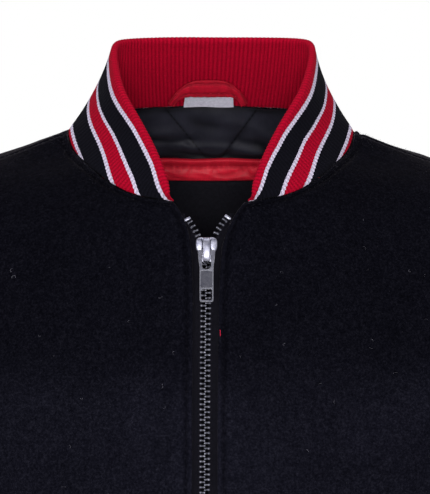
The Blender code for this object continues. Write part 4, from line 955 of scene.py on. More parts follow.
def sleeve_height(turn0):
    deg = np.broadcast_to(np.degrees(phi)[None, :], SQ.shape)
    h = 0.0 * SQ
    for q0, a0, q1, a1, w, hgt in SLEEVE_CREASES:
        a0, a1 = a0 + turn0, a1 + turn0
        mid = (a0 + a1) / 2
        a = (deg - mid + 180.0) % 360.0 - 180.0 + mid
        h = h + 1.7 * creases(a * 0.78, SQ * 300.0, [(a0 * 0.78, q0 * 300, a1 * 0.78, q1 * 300, w * 1.15, hgt)])
    for a0, w, ln, hgt in WRIST_GATHERS:
        da = (deg - a0 - turn0 + 180.0) % 360.0 - 180.0
        h = h + 1.35 * hgt * bump1(da, w) * np.exp(-(s_up / ln)**1.6) * (1 - 0.6 * bump1(s_up, 2.5))
    calm = np.clip((np.minimum(s_down, s_up + 6) - 1.0) / 12.0, 0.0, 1.0)
    rad = np.radians(deg)
    h = h * calm + calm * waves(45 * np.sin(rad), SQ * 300 + 30 * np.cos(rad), 41 + int(turn0), 14, 0.2, 12.0, 60.0)
    return h + seam_profile(s_down) + seam_profile(s_up)


for side, name in ((1, "left"), (-1, "right")):
    mk = np.array([side, 1.0, 1.0])
    p = (SG + SNN * sleeve_height(0.0 if side > 0 else 9.0)[..., None]) * mk
    n_ = SNN * mk
    # loops run along the sleeve here, so that the skin closes round it
    loops, cols = wall(np.swapaxes(p, 0, 1), np.swapaxes(n_, 0, 1), CLOTH, k=4, ends=(0.3, 0.3))
    # per-point tone: nap patches with painted light and shade
    nap_and_painted_shading = nap_and_painted_shading_tone(p[..., 0] * 0.6, p[..., 2] * 0.9 - 20)
    nap_and_painted_shading = np.swapaxes(nap_and_painted_shading, 0, 1)[:, cols]
    ob = lattice("wool_sleeve_" + name, loops, WOOL, wrap=True, attrs={"nap_and_painted_shading": nap_and_painted_shading}, deg=60,
                 replaces=("sleeve_" + name,))

# ---------------------------------------------------------------- rib knit

def rib_wave(u):
    """Height of a rib, 1 on its crown and 0 in the valley between two."""
    return (0.5 + 0.5 * np.cos(2 * np.pi * (u - 0.5)))**0.62


def round_ends(g, r_=2.0, rows_=3):
    """Rounds off both open ends of a set of loops."""
    m = g.shape[1]
    first, last = [], []
    for end, before, out in ((g[0], g[1], first), (g[-1], g[-2], last)):
        mate = end[::-1]
        mid = (end + mate) / 2
        d = unit(np.mean(end - before, axis=0))
        for a in np.linspace(0, math.pi / 2, rows_ + 1)[1:]:
            out.append(mid + (end - mid) * max(math.cos(a), 0.04) + d * r_ * math.sin(a))
    return np.concatenate([np.stack(first[::-1]), g, np.stack(last)])


def knit_piece(name, g, u, v, amp, mat, wrap, replaces, extra=None, end_r=None):
    """Loops carved into ribs; u = rib number of each loop, v = mm along the rib."""
    n_ = vert_normals(g, wrap=wrap)
    mid = g.mean(1, keepdims=True)
    if np.sum(n_ * (g - mid)) < 0:
        n_ = -n_
    n_[:, 0], n_[:, -1] = n_[:, 1], n_[:, -2]              # the cut edge keeps its width
    wave = rib_wave(u)[:, None]
    rg = np.random.default_rng(len(name))
    each = 1 + 0.22 * np.interp(u, np.arange(-4, 900), rg.uniform(-1, 1, 904))[:, None]
    # valley depth, used for the painted shade in the rib valleys
    valley = (1 - wave) * np.ones_like(v)
    g = g - n_ * (amp * (1 - wave) * each)[..., None]
    if extra is not None:
        g = g + n_ * extra[..., None]
    if end_r is not None:
        r_, k = end_r, 3
        g = round_ends(g, r_, k)
        u = np.concatenate([u[:1] - 0.1 * np.arange(k, 0, -1), u, u[-1:] + 0.1 * np.arange(1, k + 1)])
        v = np.concatenate([v[:1]] * k + [v] + [v[-1:]] * k)
        valley = np.concatenate([valley[:1]] * k + [valley] + [valley[-1:]] * k)
    return lattice(name, g, mat, wrap=wrap, knit=(u, v), attrs={"valley": valley}, deg=75, replaces=replaces)


# collar: ribs run from the neck seam over the fold; they stand closer at the top
# of the fronts and fan out at the centre back
sf = np.linspace(0.0, 4.0, 1601)
MF, SF, DF = collar_rows(sf)
along = unit(np.gradient(MF + SF, axis=0))
CNF = unit(np.cross(along, unit(SF - MF)))
if CNF[800, 1] < 0:
    CNF = -CNF
LT = np.concatenate([[0.0], np.cumsum(np.linalg.norm(np.diff(MF + CNF * 0.0, axis=0), axis=1))])
LB = np.concatenate([[0.0], np.cumsum(np.linalg.norm(np.diff(SF, axis=0), axis=1))])
from_back = np.abs(sf - 2.0)
pitch_top = 1.84 + 0.36 * np.exp(-(from_back / 0.62)**2)
UT = np.concatenate([[0.0], np.cumsum(np.diff(LT) / (0.5 * (pitch_top[1:] + pitch_top[:-1])))])
N_COL = int(round(UT[-1]))
UT *= N_COL / UT[-1]
tight = 2.0 + 0.0 * sf
w_back = np.exp(-(from_back / 0.55)**4)
for _ in range(12):                                # open the front and sides until the counts agree
    q_ = 2.02 * w_back + tight * (1 - w_back)
    UB = np.concatenate([[0.0], np.cumsum(np.diff(LB) / (0.5 * (q_[1:] + q_[:-1])))])
    tight = tight * (UB[-1] / N_COL)
UB *= N_COL / UB[-1]
PER = 6
uc = np.arange(N_COL * PER + 1) / PER
s_top, s_bot = np.interp(uc, UT, sf), np.interp(uc, UB, sf)


def collar_at(s_, w, off=0.0):
    """Outer face of the collar (off = 0) at s and w (0 fold, 1 seam), and normal."""
    def f(tab):
        return np.stack([np.interp(s_, sf, tab[:, k]) for k in range(3)], -1)
    m_, n_, c_ = f(MF), f(SF), unit(f(CNF))
    d_ = np.interp(s_, sf, DF)
    w = np.asarray(w, float)
    w = np.broadcast_to(w, d_.shape)
    p_ = (m_ + c_ * (RIB / 2)) * (1 - w)[..., None] + n_ * w[..., None] - c_ * (d_ * 4 * w * (1 - w))[..., None]
    return p_ - c_ * np.asarray(off, float)[..., None], c_, m_, n_


def pull(ss, w):
    """The lower front corners of the collar are drawn back along the seam."""
    k = 2.4 * max((w - 0.70) / 0.30, 0.0)**1.5
    fall = np.clip(1 - np.minimum(uc, N_COL - uc) / 8.0, 0, 1)
    return np.interp(np.interp(ss, sf, LB) + np.where(uc < N_COL / 2, 1, -1) * k * fall, LB, sf)


W_OUT = np.concatenate([[0.993, 0.975, 0.95], np.linspace(0.91, 0.0, 21)])
sections, arcs = [], []
for w in W_OUT:
    ss = pull(s_top * (1 - w) + s_bot * w, w)
    p_, c_, m_, n_ = collar_at(ss, w)
    sections.append(p_)
    arcs.append(3.14 + w * np.linalg.norm(n_ - m_, axis=1))
p_, c_, m_, n_ = collar_at(s_top, 0.0)
rd = unit(n_ - m_)
r_ = RIB / 2
thin = 1 - 0.55 * np.clip(1 - np.minimum(uc, N_COL - uc) / 4.5, 0, 1)**1.3        # trimmed seam ends
for a in np.linspace(0, math.pi, 9)[1:-1]:
    sections.append(p_ - c_ * (r_ * thin * (1 - math.cos(a)))[:, None] - rd * (r_ * thin * math.sin(a))[:, None])
    arcs.append(np.full(len(uc), 3.14 - 2 * a))
for w in W_OUT[::-1]:
    ss = pull(s_top * (1 - w) + s_bot * w, w)
    p_, c_, m_, n_ = collar_at(ss, w, RIB * thin)
    sections.append(p_)
    arcs.append(-3.14 - w * np.linalg.norm(n_ - m_, axis=1))
CG, CV = np.stack(sections, 1), np.stack(arcs, 1)
w_all = np.concatenate([W_OUT, np.zeros(7), W_OUT[::-1]])[None, :]
CG = settle(CG, w_all**2)
# how far each white row strays from its count, rib by rib: the rib is stretched
# over the shoulders and eased in towards the zip
STRAY = [
    (6.2, [(0, -1.6), (9, -1.6), (14, -0.9), (16.3, -0.3), (21, 0.0), (26, 1.15), (31, 1.75), (37, 2.3), (50, 1.4), (62, 0.8),
           (104, 0.8), (118, 2.0), (127, 3.0), (130, 3.0), (135, 2.3), (140, 1.1), (143, 0.25), (150, -0.2), (155, -0.7), (160, -0.1), (166, -0.3)]),
    (20.2, [(0, -2.3), (10, -2.3), (13.4, -1.85), (17.5, -0.95), (20, -0.6), (25, -0.8), (29, 0.1), (33, 0.15), (37.6, 0.95), (50, 0.5),
            (104, 0.4), (118, 1.0), (128, 1.65), (133.7, 1.05), (138.7, 0.25), (146, 0.05), (150.6, -0.4), (153, -0.9), (166, -0.8)]),
    (29.5, [(0, 0.6), (14, 0.75), (18, 1.4), (29, 1.4), (36, 1.1), (41, 0.25), (50, 0.5), (62, 0.8), (104, 0.8), (118, 0.9), (124, 1.2),
            (129, 1.95), (140, 1.8), (149, 2.2), (166, 2.1)]),
    (43.5, [(0, 1.25), (30, 1.45), (36.8, 0.8), (45, 0.6), (62, 0.8), (104, 0.8), (120, 1.2), (130, 1.6), (136, 2.1), (166, 1.9)])]
shift = [np.interp(uc, *zip(*tab)) for _, tab in STRAY]
for i in range(len(uc)):
    at_ = [0.0] + [row[0] + c[i] for row, c in zip(STRAY, shift)]
    CV[i] -= np.interp(CV[i], at_, [0.0] + [c[i] for c in shift])
CV[:, -1] = CV[:, 0]                     # the cut edge in the seam takes the colour of the outer face
CV[np.minimum(uc, N_COL - uc) < 48, -3:-1] = CV[np.minimum(uc, N_COL - uc) < 48, :1]
inside = np.concatenate([np.zeros(len(W_OUT)), np.linspace(0, 1, 7), np.ones(len(W_OUT))])[None, :]
amp = (0.14 + 0.22 * inside) * np.clip((1 - w_all) / 0.10, 0.35, 1.0) * np.ones_like(CV)
dip = -0.50 * bump1((1 - w_all) * 44, 1.6) * np.ones_like(CV)
xx = uc[:, None] * 1.95
soft = 0.10 * np.sin(xx / 9.0 + w_all * 3) + 0.10 * np.sin(xx / 23.0 - w_all * 5 + 1.0)
ob = knit_piece("rib_collar", CG, uc, CV, amp, COLLAR_MAT, False, ("collar",), extra=dip + soft, end_r=0.5)

# cuffs
N_CUFF, PER_C = 88, 5
pc = 2 * np.pi * np.arange(N_CUFF * PER_C) / (N_CUFF * PER_C)
u_cuff = np.arange(N_CUFF * PER_C) / PER_C
ks = np.concatenate([[0.02, 0.06, 0.12, 0.2], np.linspace(0.3, 3.0, 26)])
co = np.stack([ring(CUFF, k, pc)[0] for k in ks])
cnn = vert_normals(co)
if cnn[10, 0, 0] < 0:
    cnn = -cnn
end_axis = ring(CUFF, 3.0, pc)[1]
sec = [co[i] for i in range(len(ks))]
arc_c = np.concatenate([[0.0], np.cumsum(steps(co, 0).mean(1))])
vs = list(arc_c)
cmid = co[-1] - cnn[-1] * r_
for a in np.linspace(0, math.pi, 8)[1:-1]:
    sec.append(cmid + cnn[-1] * (r_ * math.cos(a)) + end_axis * (r_ * math.sin(a)))
    vs.append(arc_c[-1] + 2 * a)
for i in range(len(ks) - 1, -1, -2):
    sec.append(co[i] - cnn[i] * RIB)
    vs.append(arc_c[-1] + 6.3 + arc_c[-1] - arc_c[i])
QG = np.stack(sec, 1)
QV = np.broadcast_to(np.array(vs)[None, :] + 0.8, QG.shape[:2]).copy()
QV[:, -1] = QV[:, 0]
amp = 0.30 * np.clip((QV - 0.5) / 4.0, 0.35, 1.0)
dip = -0.9 * bump1(QV - 0.8, 1.6) + 0.3 * np.sin(QV / 7.0) * np.sin(pc * 3)[:, None]
for side, name in ((1, "left"), (-1, "right")):
    ob = knit_piece("rib_cuff_" + name, QG * np.array([side, 1.0, 1.0]), u_cuff, QV, amp, CUFF_MAT, True,
                    ("cuff_" + name,), extra=dip)

# hem rib
hem_v = [front_at(TT, 12.0), back_at(TT[::-1], 12.0)[1:], (back_at(TT, 12.0) * [-1, 1, 1])[1:], (front_at(TT[::-1], 12.0) * [-1, 1, 1])[1:]]
line = np.concatenate(hem_v)
arc = np.concatenate([[0.0], np.cumsum(np.linalg.norm(np.diff(line, axis=0), axis=1))])
N_HEM, PER_H = 330, 4
dist = np.linspace(1.6, arc[-1] - 1.6, N_HEM * PER_H + 1)
loop = np.stack([np.interp(dist, arc, line[:, k]) for k in range(3)], -1)
u_hem = np.arange(N_HEM * PER_H + 1) / PER_H


def hem_row(k):
    sc = float(smooth(k, np.arange(4), HEMRIB["scale"]))
    p_ = loop.copy()
    p_[:, 1] = (p_[:, 1] + 4.5) * sc - 4.5
    p_[:, 0] *= 1 - (1 - sc) * np.clip((np.abs(loop[:, 0]) - 6.0) / 60.0, 0, 1)
    p_[:, 2] -= float(smooth(k, np.arange(4), HEMRIB["down"]))
    return p_


ks = np.concatenate([[0.05, 0.15, 0.35, 0.6], np.linspace(0.9, 2.92, 21)])
ho = np.stack([hem_row(k) for k in ks])
hn = vert_normals(ho, loop=False)
if hn[10, 40, 1] > 0:
    hn = -hn
hn = unit(hn + 0.5 * np.roll(hn, 3, 1) + 0.5 * np.roll(hn, -3, 1)) if False else hn
arc_h = np.concatenate([[0.0], np.cumsum(steps(ho, 0).mean(1))])
sec, vs = [ho[i] for i in range(len(ks))], list(arc_h)
hmid = ho[-1] - hn[-1] * r_
for a in np.linspace(0, math.pi, 8)[1:-1]:
    sec.append(hmid + hn[-1] * (r_ * math.cos(a)) + np.array([0, 0, -1.0]) * (r_ * math.sin(a)))
    vs.append(arc_h[-1] + 2 * a)
for i in range(len(ks) - 1, -1, -3):
    sec.append(ho[i] - hn[i] * RIB)
    vs.append(arc_h[-1] + 6.3 + arc_h[-1] - arc_h[i])
HGG = np.stack(sec, 1)
HV = np.broadcast_to(np.array(vs)[None, :] + 1.0, HGG.shape[:2]).copy()
amp = 0.32 * np.clip((HV - 0.5) / 4.0, 0.35, 1.0)
dip = -0.9 * bump1(HV - 1.0, 1.8) + 0.35 * np.sin(HV / 8.0) * np.sin(u_hem / 9.0)[:, None] * np.clip(u_hem / 12, 0, 1)[:, None]
if (HGG.shape[1]) % 2:
    HGG, HV, amp, dip = HGG[:, :-1], HV[:, :-1], amp[:, :-1], dip[:, :-1]
HV[:, -1] = HV[:, 0]
ob = knit_piece("rib_hem", lean(HGG), u_hem, HV, amp, HEM_MAT, False, ("hem_rib",), extra=dip)

# ---------------------------------------------------------------- inside the neck

def sample(g, i, j):
    """Grid at fractional rows i and columns j, the same shape as i and j."""
    i = np.clip(i, 0, g.shape[0] - 1.001)
    j = np.clip(j, 0, g.shape[1] - 1.001)
    a, b = np.floor(i).astype(int), np.floor(j).astype(int)
    u, v = (i - a)[..., None], (j - b)[..., None]
    return ((1 - u) * (1 - v) * g[a, b] + (1 - u) * v * g[a, b + 1] + u * (1 - v) * g[a + 1, b] + u * v * g[a + 1, b + 1])


NC = BG.shape[1]
MIDC = NC // 2
lay = CLOTH + LAY
i_fine = int(np.argmin(np.abs(LV - 1.6)))
ii = np.concatenate([np.arange(0, 14, 1.5), np.arange(14, i_fine, 0.5), np.arange(i_fine, NV - 6, 1.6)])
jj = np.arange(1.0, NC - 1.0, 1.0)
I, J = np.meshgrid(ii, jj, indexing="ij")
LP, LN = sample(BS, I, J), unit(sample(BN, I, J))
LP[0] += unit(LP[0] - LP[1]) * 0.3
x, z = LP[..., 0], LP[..., 2]
LINING_CREASES = [
    (-32, 0.9, -10, 0.1, 1.7, -1.0), (-34, 3.2, -12, 2.6, 2.1, 0.7), (-30, -2.6, -9, -2.4, 2.0, 0.7),
    (-16, -6.6, 26, -9.2, 1.8, -1.1), (-10, -4.1, 22, -6.4, 2.0, 0.8), (-14, -2.2, -4, -8.6, 1.6, 0.8), (1, -9.0, 10, -4.6, 1.6, 0.7),
    (27, 3.4, 45, -6.0, 2.6, 0.8), (24, -2.0, 38, -9.0, 2.2, -0.8), (-45, -3.0, -30, -11.5, 2.4, -0.9), (-40, 7.0, -27, 3.4, 2.4, 0.6),
    (4, 9.0, 26, 4.6, 2.6, 0.5), (-12, 10.5, 6, 7.0, 2.6, -0.5), (12, 0.5, 30, -1.6, 2.4, -0.5),
    (-96, -110, -62, -128, 8, 1.2), (-88, -168, -20, -182, 9, -1.4), (96, -126, 40, -142, 8, 1.2), (80, -214, 8, -230, 9, 1.4),
    (-70, -262, 12, -280, 9, -1.4), (100, -290, 34, -304, 8, -1.3), (-104, -330, -40, -344, 8, 1.2), (40, -360, -30, -374, 8, 1.2)]
S_Q = S_QUILT
c1 = (x + 22.2) * 0.768 + (z - 12.0) * 0.641
c2 = (x - 21.5) * 0.800 - (z - 10.4) * 0.600
d1 = np.abs((c1 + S_Q / 2) % S_Q - S_Q / 2)
d2 = np.abs((c2 + S_Q / 2) % S_Q - S_Q / 2)
dq = np.minimum(d1, d2)
on_patch = np.clip((59 - np.abs(x)) / 3, 0, 1) * np.clip((-7.8 - z) / 2.0, 0, 1) * np.clip((z + 95) / 3, 0, 1)
from_top = np.concatenate([np.zeros((1, len(jj))), np.cumsum(steps(LP, 0), 0)])
wrinkle = creases(x, z, LINING_CREASES)
hh = -1.1 * bump1(dq, 1.3) + 0.8 * (1 - bump1(dq, 8.0)) + 1.7 * wrinkle + waves(x, z, 51, 14, 0.36, 6.0, 40.0)
# painted shade: darker in the wrinkle troughs, under the neck seam, in the quilting troughs and in a shadow line above
# the satin band
painted_shade = np.clip(-1.5 * wrinkle - 0.08, 0, 0.9) + 1.0 * bump1(from_top - 0.4, 1.9) + 0.18 * bump1(dq, 1.8)
painted_shade = painted_shade + (0.75 * bump1(z + 8.6, 2.6) + 0.12 * np.sin(x / 4.3) * bump1(z + 6, 5)) * np.clip((62 - np.abs(x)) / 4, 0, 1)
hh = hh * (1 - on_patch) - 0.5 * on_patch
hh = hh * np.clip(from_top / 4.0, 0.25, 1) - 0.35 * bump1(from_top, 0.9)
vis = LP - LN * (lay + LINING)[..., None] if False else LP - LN * (lay + LINING) - LN * hh[..., None]
vis[..., 2] += (0.42 * np.sin(x / 6.3 + 0.8) + 0.26 * np.sin(x / 2.7) + 1.1 * bump1(x + 1.5, 17.0)) * bump1(from_top, 2.6)
thick = 1.0 + 1.6 * np.clip(from_top / 14.0, 0, 1)[..., None] + 0 * hh[..., None]
thick = thick + np.maximum(hh, 0)[..., None] * 0.6
loops, cols = wall(vis, -LN, thick, k=4, ends=(0.6, 0.6))
ob = lattice("satin_lining", loops, LINING_MAT, attrs={"painted_shade": np.clip(painted_shade, 0, 1)[:, cols]}, deg=60, replaces=("back_lining",))

BAND_TOP, BAND_BOTTOM, PATCH_BOTTOM, PATCH_HALF = -10.0, -21.0, -91.0, 56.0
mid_z = BS[:, MIDC, 2]
on_lining = lay + LINING + LAY


def on_back(zs, xs, depth):
    """Points on the back's form at heights zs (on its middle) and places xs."""
    i_ = np.interp(-np.asarray(zs, float), -mid_z, np.arange(NV))
    P_, N_ = [], []
    for a in i_:
        row = sample(BS, np.full(NC, a), np.arange(NC, dtype=float))
        j_ = np.interp(-np.asarray(xs, float), -row[:, 0], np.arange(NC))
        P_.append(sample(BS, np.full(len(j_), a), j_))
        N_.append(unit(sample(BN, np.full(len(j_), a), j_)))
    P_, N_ = np.stack(P_), np.stack(N_)
    return P_ - N_ * depth, N_


# satin band: piped top edge, a puckered stitch row, a fuller lower half
zs = np.linspace(BAND_TOP, BAND_BOTTOM, 30)
xs = np.linspace(-PATCH_HALF, PATCH_HALF, 141)
p, n_ = on_back(zs, xs, on_lining + 1.0)
f = np.linspace(0, 1, len(zs))[:, None] * np.ones((1, len(xs)))
X = xs[None, :] * np.ones((len(zs), 1))
prof = np.interp(f, [0, 0.04, 0.10, 0.18, 0.27, 0.33, 0.42, 0.62, 0.80, 0.93, 1.0],
                 [-0.2, 0.55, 0.70, 0.25, -0.10, -0.55, 0.05, 0.75, 1.05, 0.75, -0.1])
rg = np.random.default_rng(7)
puck = 0.0 * X
xk = -54.0
while xk < 54.0:
    xk += rg.uniform(2.2, 4.6)
    puck = puck + rg.uniform(0.18, 0.52) * bump1(X - xk - (f - 0.35) * rg.uniform(-7, 7), rg.uniform(0.7, 1.3)) * bump1(f - rg.uniform(0.30, 0.48), rg.uniform(0.10, 0.22))
BAND_CREASES = [(-38, -17, -30, -22, 1.2, -0.5), (-27, -15.5, -16, -18.5, 1.3, 0.5), (-22, -17.5, -6, -21.5, 1.5, -0.55),
                (-8, -16, 4, -19.5, 1.4, 0.5), (2, -17.6, 16, -15.6, 1.2, -0.45), (6, -21.6, 20, -18.0, 1.5, 0.5),
                (18, -16.4, 31, -20.6, 1.3, -0.5), (33, -15.6, 42, -19.4, 1.2, 0.5), (-50, -16, -42, -20, 1.3, 0.5), (42, -21, 52, -17, 1.3, -0.4)]
cb = creases(X, zs[:, None] + 0 * X, BAND_CREASES) * np.clip(f * 4 - 1.0, 0, 1) * np.clip((1 - f) * 8, 0, 1)
hb = prof + puck * 0.8 + 1.2 * cb
# painted shade: dark on the upper part and edges where the band turns away, darker in the creases, with a painted
# highlight on the puckers
painted_shade = np.interp(f, [0, 0.05, 0.10, 0.16, 0.22, 0.40, 0.48, 0.93, 1.0], [0.7, 0.25, 0.15, 0.35, 0.75, 0.70, 0.10, 0.05, 0.8])
painted_shade = np.clip(painted_shade - 1.0 * puck + np.clip(-1.1 * cb, 0, 0.6), 0, 1)
p = p - n_ * hb[..., None]
p[..., 2] += (0.45 - 1.1 * (np.abs(X) / 50.0)**2 + 0.25 * np.sin(X / 5.1)) * np.clip(1 - f * 1.4, 0, 1)
loops, cols = wall(p, -n_, np.maximum(1.0 + hb[..., None] * 0.9, 0.5), k=4, ends=(0.6, 0.6))
ob = lattice("satin_band", loops, SATIN_MAT, attrs={"painted_shade": painted_shade[:, cols]}, deg=60, replaces=("patch_band",))

# neck patch, bare
zs = np.concatenate([np.linspace(BAND_BOTTOM - 0.3, -58, 34), np.linspace(-60, PATCH_BOTTOM, 16)])
xs = np.linspace(-PATCH_HALF, PATCH_HALF, 91)
p, n_ = on_back(zs, xs, on_lining + 1.0)
X, Z = xs[None, :] + 0 * zs[:, None], zs[:, None] + 0 * xs[None, :]
edge_d = np.minimum(np.minimum(PATCH_HALF - np.abs(X), Z - PATCH_BOTTOM), 99)
hp = waves(X, Z, 61, 12, 0.16, 7.0, 40.0) * np.clip(edge_d / 6, 0, 1) - 0.35 * bump1(edge_d - 2.4, 0.9) + 0.25 * bump1(Z - BAND_BOTTOM + 1.5, 1.5) - 0.15
hp = hp + creases(X, Z, [(-40, -30, -10, -36, 3, 0.3), (8, -28, 36, -35, 3, -0.3), (-20, -46, 18, -50, 4, 0.3)])
p = p - n_ * hp[..., None]
loops, cols = wall(p, -n_, np.maximum(0.8 + hp[..., None], 0.3), k=4, ends=(0.6, 0.6))
ob = lattice("cloth_patch", loops, PATCH_MAT, deg=60, replaces=("neck_patch",))


def on_collar(x_, z_, off):
    """Point in front of the collar's inner face at the back, from x and height."""
    x_, z_ = np.broadcast_arrays(np.asarray(x_, float), np.asarray(z_, float))
    return collar_at(2.0 - x_ / 96.8, (43.6 - z_) / 30.2, RIB + off)[0]


# hanger loop: folded satin strip bowed into an arch, both ends in the neck seam
LOOP_HALF, LOOP_THICK, LOOP_FOOT = 21.4, 0.9, 15.6
face = unit(np.array([0.0, -0.72, -0.69]))
q = np.linspace(-1.0, 1.0, 81)
rise = 0.9 + 1.5 * (1 - np.abs(q)**2.5)
g = []
for w in np.linspace(0, 1, 15):
    x_ = q * (LOOP_HALF - 3.4 * (1 - w))
    pw = 7.0 - 3.6 * w
    z_ = LOOP_FOOT - 0.4 + (5.5 + 7.4 * w) * (1 - np.abs(q)**pw) + 1.6 * w * np.abs(q)**pw
    pr = 0.35 * math.sin(math.pi * w) - 0.42 * bump1(w - 0.20, 0.07) - 0.42 * bump1(w - 0.83, 0.07)
    wr = 0.16 * np.sin(q * 15 + w * 5) * np.abs(q)**1.5 + 0.10 * np.sin(q * 31 + 2 + w * 2)
    g.append(on_collar(x_ - 1.9, z_, 0.0) + face * (rise + LOOP_THICK + pr + wr)[:, None])
g = np.stack(g)
loops, cols = wall(g, np.broadcast_to(face, g.shape), LOOP_THICK, k=4, ends=(0.5, 0.5))
loops = np.swapaxes(wall(np.swapaxes(g, 0, 1), np.broadcast_to(face, g.shape).swapaxes(0, 1), LOOP_THICK, k=4, ends=(0.8, 0.8))[0], 0, 0)
wl = np.linspace(0, 1, 15)
# painted shade along the stitch rows and the folded edges, with streaks
loop_painted_shade = 0.75 * bump1(wl - 0.20, 0.06) + 0.75 * bump1(wl - 0.83, 0.06) + 0.55 * bump1(wl, 0.05) + 0.4 * bump1(wl - 1, 0.05)
loop_painted_shade = np.clip(loop_painted_shade[:, None] + 0.30 * np.sin(q * 17 + wl[:, None] * 5) * np.abs(q) + 0.10, 0, 1)
_, cols = wall(np.swapaxes(g, 0, 1), np.broadcast_to(face, g.shape).swapaxes(0, 1), LOOP_THICK, k=4, ends=(0.8, 0.8))
ob = lattice("satin_loop", loops, LOOP_MAT, attrs={"painted_shade": np.swapaxes(loop_painted_shade, 0, 1)[:, cols]}, deg=60, replaces=("hanger_loop",))
LOOP_GRID = g

# size label, bare
q = np.linspace(-1.0, 1.0, 41)
g = np.stack([on_collar(q * 13.3 - 1.4, z_ + 0.12 * np.sin(q * 4 + z_), 0.85 + 0.16 * np.sin(q * 3.1 + 0.5) + 0.05 * (z_ - 14)) for z_ in np.linspace(14.5, 21.0, 14)])
loops, cols = wall(g, np.broadcast_to(face, g.shape), -0.3, k=2, ends=(0.5, 0.5))
ob = lattice("cloth_label", loops, LABEL_MAT, deg=60, replaces=("size_label",))

# ---------------------------------------------------------------- zip

NU = 8
ts = np.linspace(0.0, 1.0, NU + 1)
FG = np.stack([front_at(ts, v) for v in LEVELS])
BH = np.stack([back_at(ts, v) for v in LEVELS])


def grid_normals(p):
    return unit(np.cross(np.gradient(p, axis=0), np.gradient(p, axis=1)))


FN = grid_normals(FG)
if FN[len(LEVELS) // 2, 2, 1] > 0:
    FN = -FN
loop = np.concatenate([FG[-1], BH[-1, -2::-1], BH[-1, 1:-1] * [-1, 1, 1], FG[-1, ::-1] * [-1, 1, 1]])
HG = np.stack([hem_row(k) for k in (0.0, 1.0, 2.0, 3.0)])
HN = grid_normals(HG)
if HN[2, 2, 1] > 0:
    HN = -HN
ZP = np.concatenate([FG, HG[1:, :NU + 1]])
ZN = np.concatenate([FN, HN[1:, :NU + 1]])


def facet(p, n, i, j):
    """Point and normal of a grid at a fractional row and column, on its facets."""
    a, b_ = int(min(math.floor(i), len(p) - 2)), int(min(max(math.floor(j), 0), p.shape[1] - 2))
    u, v = i - a, j - b_
    w = [((1 - u) * (1 - v), a, b_), ((1 - u) * v, a, b_ + 1), (u * (1 - v), a + 1, b_), (u * v, a + 1, b_ + 1)]
    return sum(k * p[x, y] for k, x, y in w), unit(sum(k * n[x, y] for k, x, y in w))


def behind(x, z, depth):
    """Point at a depth behind the facets of the front, at x >= 0 and height z."""
    i = float(np.interp(-z, -ZP[:, 0, 2], np.arange(len(ZP))))
    for _ in range(5):
        xa, xb = facet(ZP, ZN, i, 0.0)[0][0], facet(ZP, ZN, i, 1.0)[0][0]
        p, n = facet(ZP, ZN, i, (x - xa) / (xb - xa))
        err = float(np.interp(-z, -ZP[:, 0, 2], np.arange(len(ZP)))) - float(
            np.interp(-p[2], -ZP[:, 0, 2], np.arange(len(ZP))))
        i = float(np.clip(i + err, 0.0, len(ZP) - 1.0))
    n = unit(np.array([0.0, n[1], n[2]]))
    return p - n * depth, n


def gape(z):
    return float(smooth(z, GAPE["z"], GAPE["half"]))


def teeth_x(z, side=1):
    """Middle of an open row of teeth; the wearer's right one lies closer to its edge."""
    wide = 0.0 if side > 0 else float(np.interp(z, [-53.5, -50.0, -43.0], [0.0, 0.75, 1.25]))
    return (float(smooth(z, OPEN["z"], OPEN["x"])) if z > -52.5 else 3.5) + wide


CHAIN_HALF, CHAIN_THICK, ROW_HALF = 2.9, 2.4, 1.45
TAPE_DEEP = CLOTH + LAY + 0.15
MID = TAPE_DEEP + TAPE / 2
SLIDER_END, ZIP_END = -64.5, -479.5


def deep(z):
    """The tape lies behind the melton above, behind the thicker rib at the hem."""
    return (TAPE_DEEP + 0.8 * float(np.interp(z, [-53.0, -43.0], [0.0, 1.0]))
            + (RIB - CLOTH) * float(np.interp(-z, [421.0, 431.5], [0.0, 1.0])))


def middle(z):
    return deep(z) + TAPE / 2


# tapes: a woven band with a corded edge that the teeth are clamped on
zs = np.concatenate([np.arange(-40.4, -66.0, -0.9), np.arange(-66.0, ZIP_END + 1.0, -3.0)])
for side, name in ((1, "left"), (-1, "right")):
    g, gn = [], []
    for z_ in zs:
        x0 = max(CHAIN_HALF - 1.0, (teeth_x(z_, side) + ROW_HALF - 0.9) if z_ > -52.5 else 0.0)
        x1 = max(gape(z_) + 7.0, 13.0)
        pts = np.concatenate([x0 + np.array([0.0, 0.35, 0.75, 1.15, 1.55, 1.95, 2.4]), np.linspace(x0 + 2.9, x1, 8)])
        cord_ = 0.55 * bump1(pts - x0 - 0.9, 0.75)
        a = [behind(x_, z_, deep(z_)) for x_ in pts]
        n_ = np.array([v_[1] for v_ in a])
        g.append(np.array([v_[0] for v_ in a]) + n_ * cord_[:, None])
        gn.append(n_)
    g, gn = np.stack(g), np.stack(gn)
    mk = np.array([side, 1.0, 1.0])
    loops, cols = wall(lean(g * mk), gn * mk, TAPE, k=4, ends=(0.9, 0.6))
    ob = lattice("tape_" + name, loops, TAPE_MAT, deg=60, replaces=("zip_tape_" + name,))


def superellipse(n, power):
    t = 2 * np.pi * (np.arange(n) + 0.5) / n
    c, s = np.cos(t), np.sin(t)
    return np.sign(c) * np.abs(c)**power, np.sign(s) * np.abs(s)**power


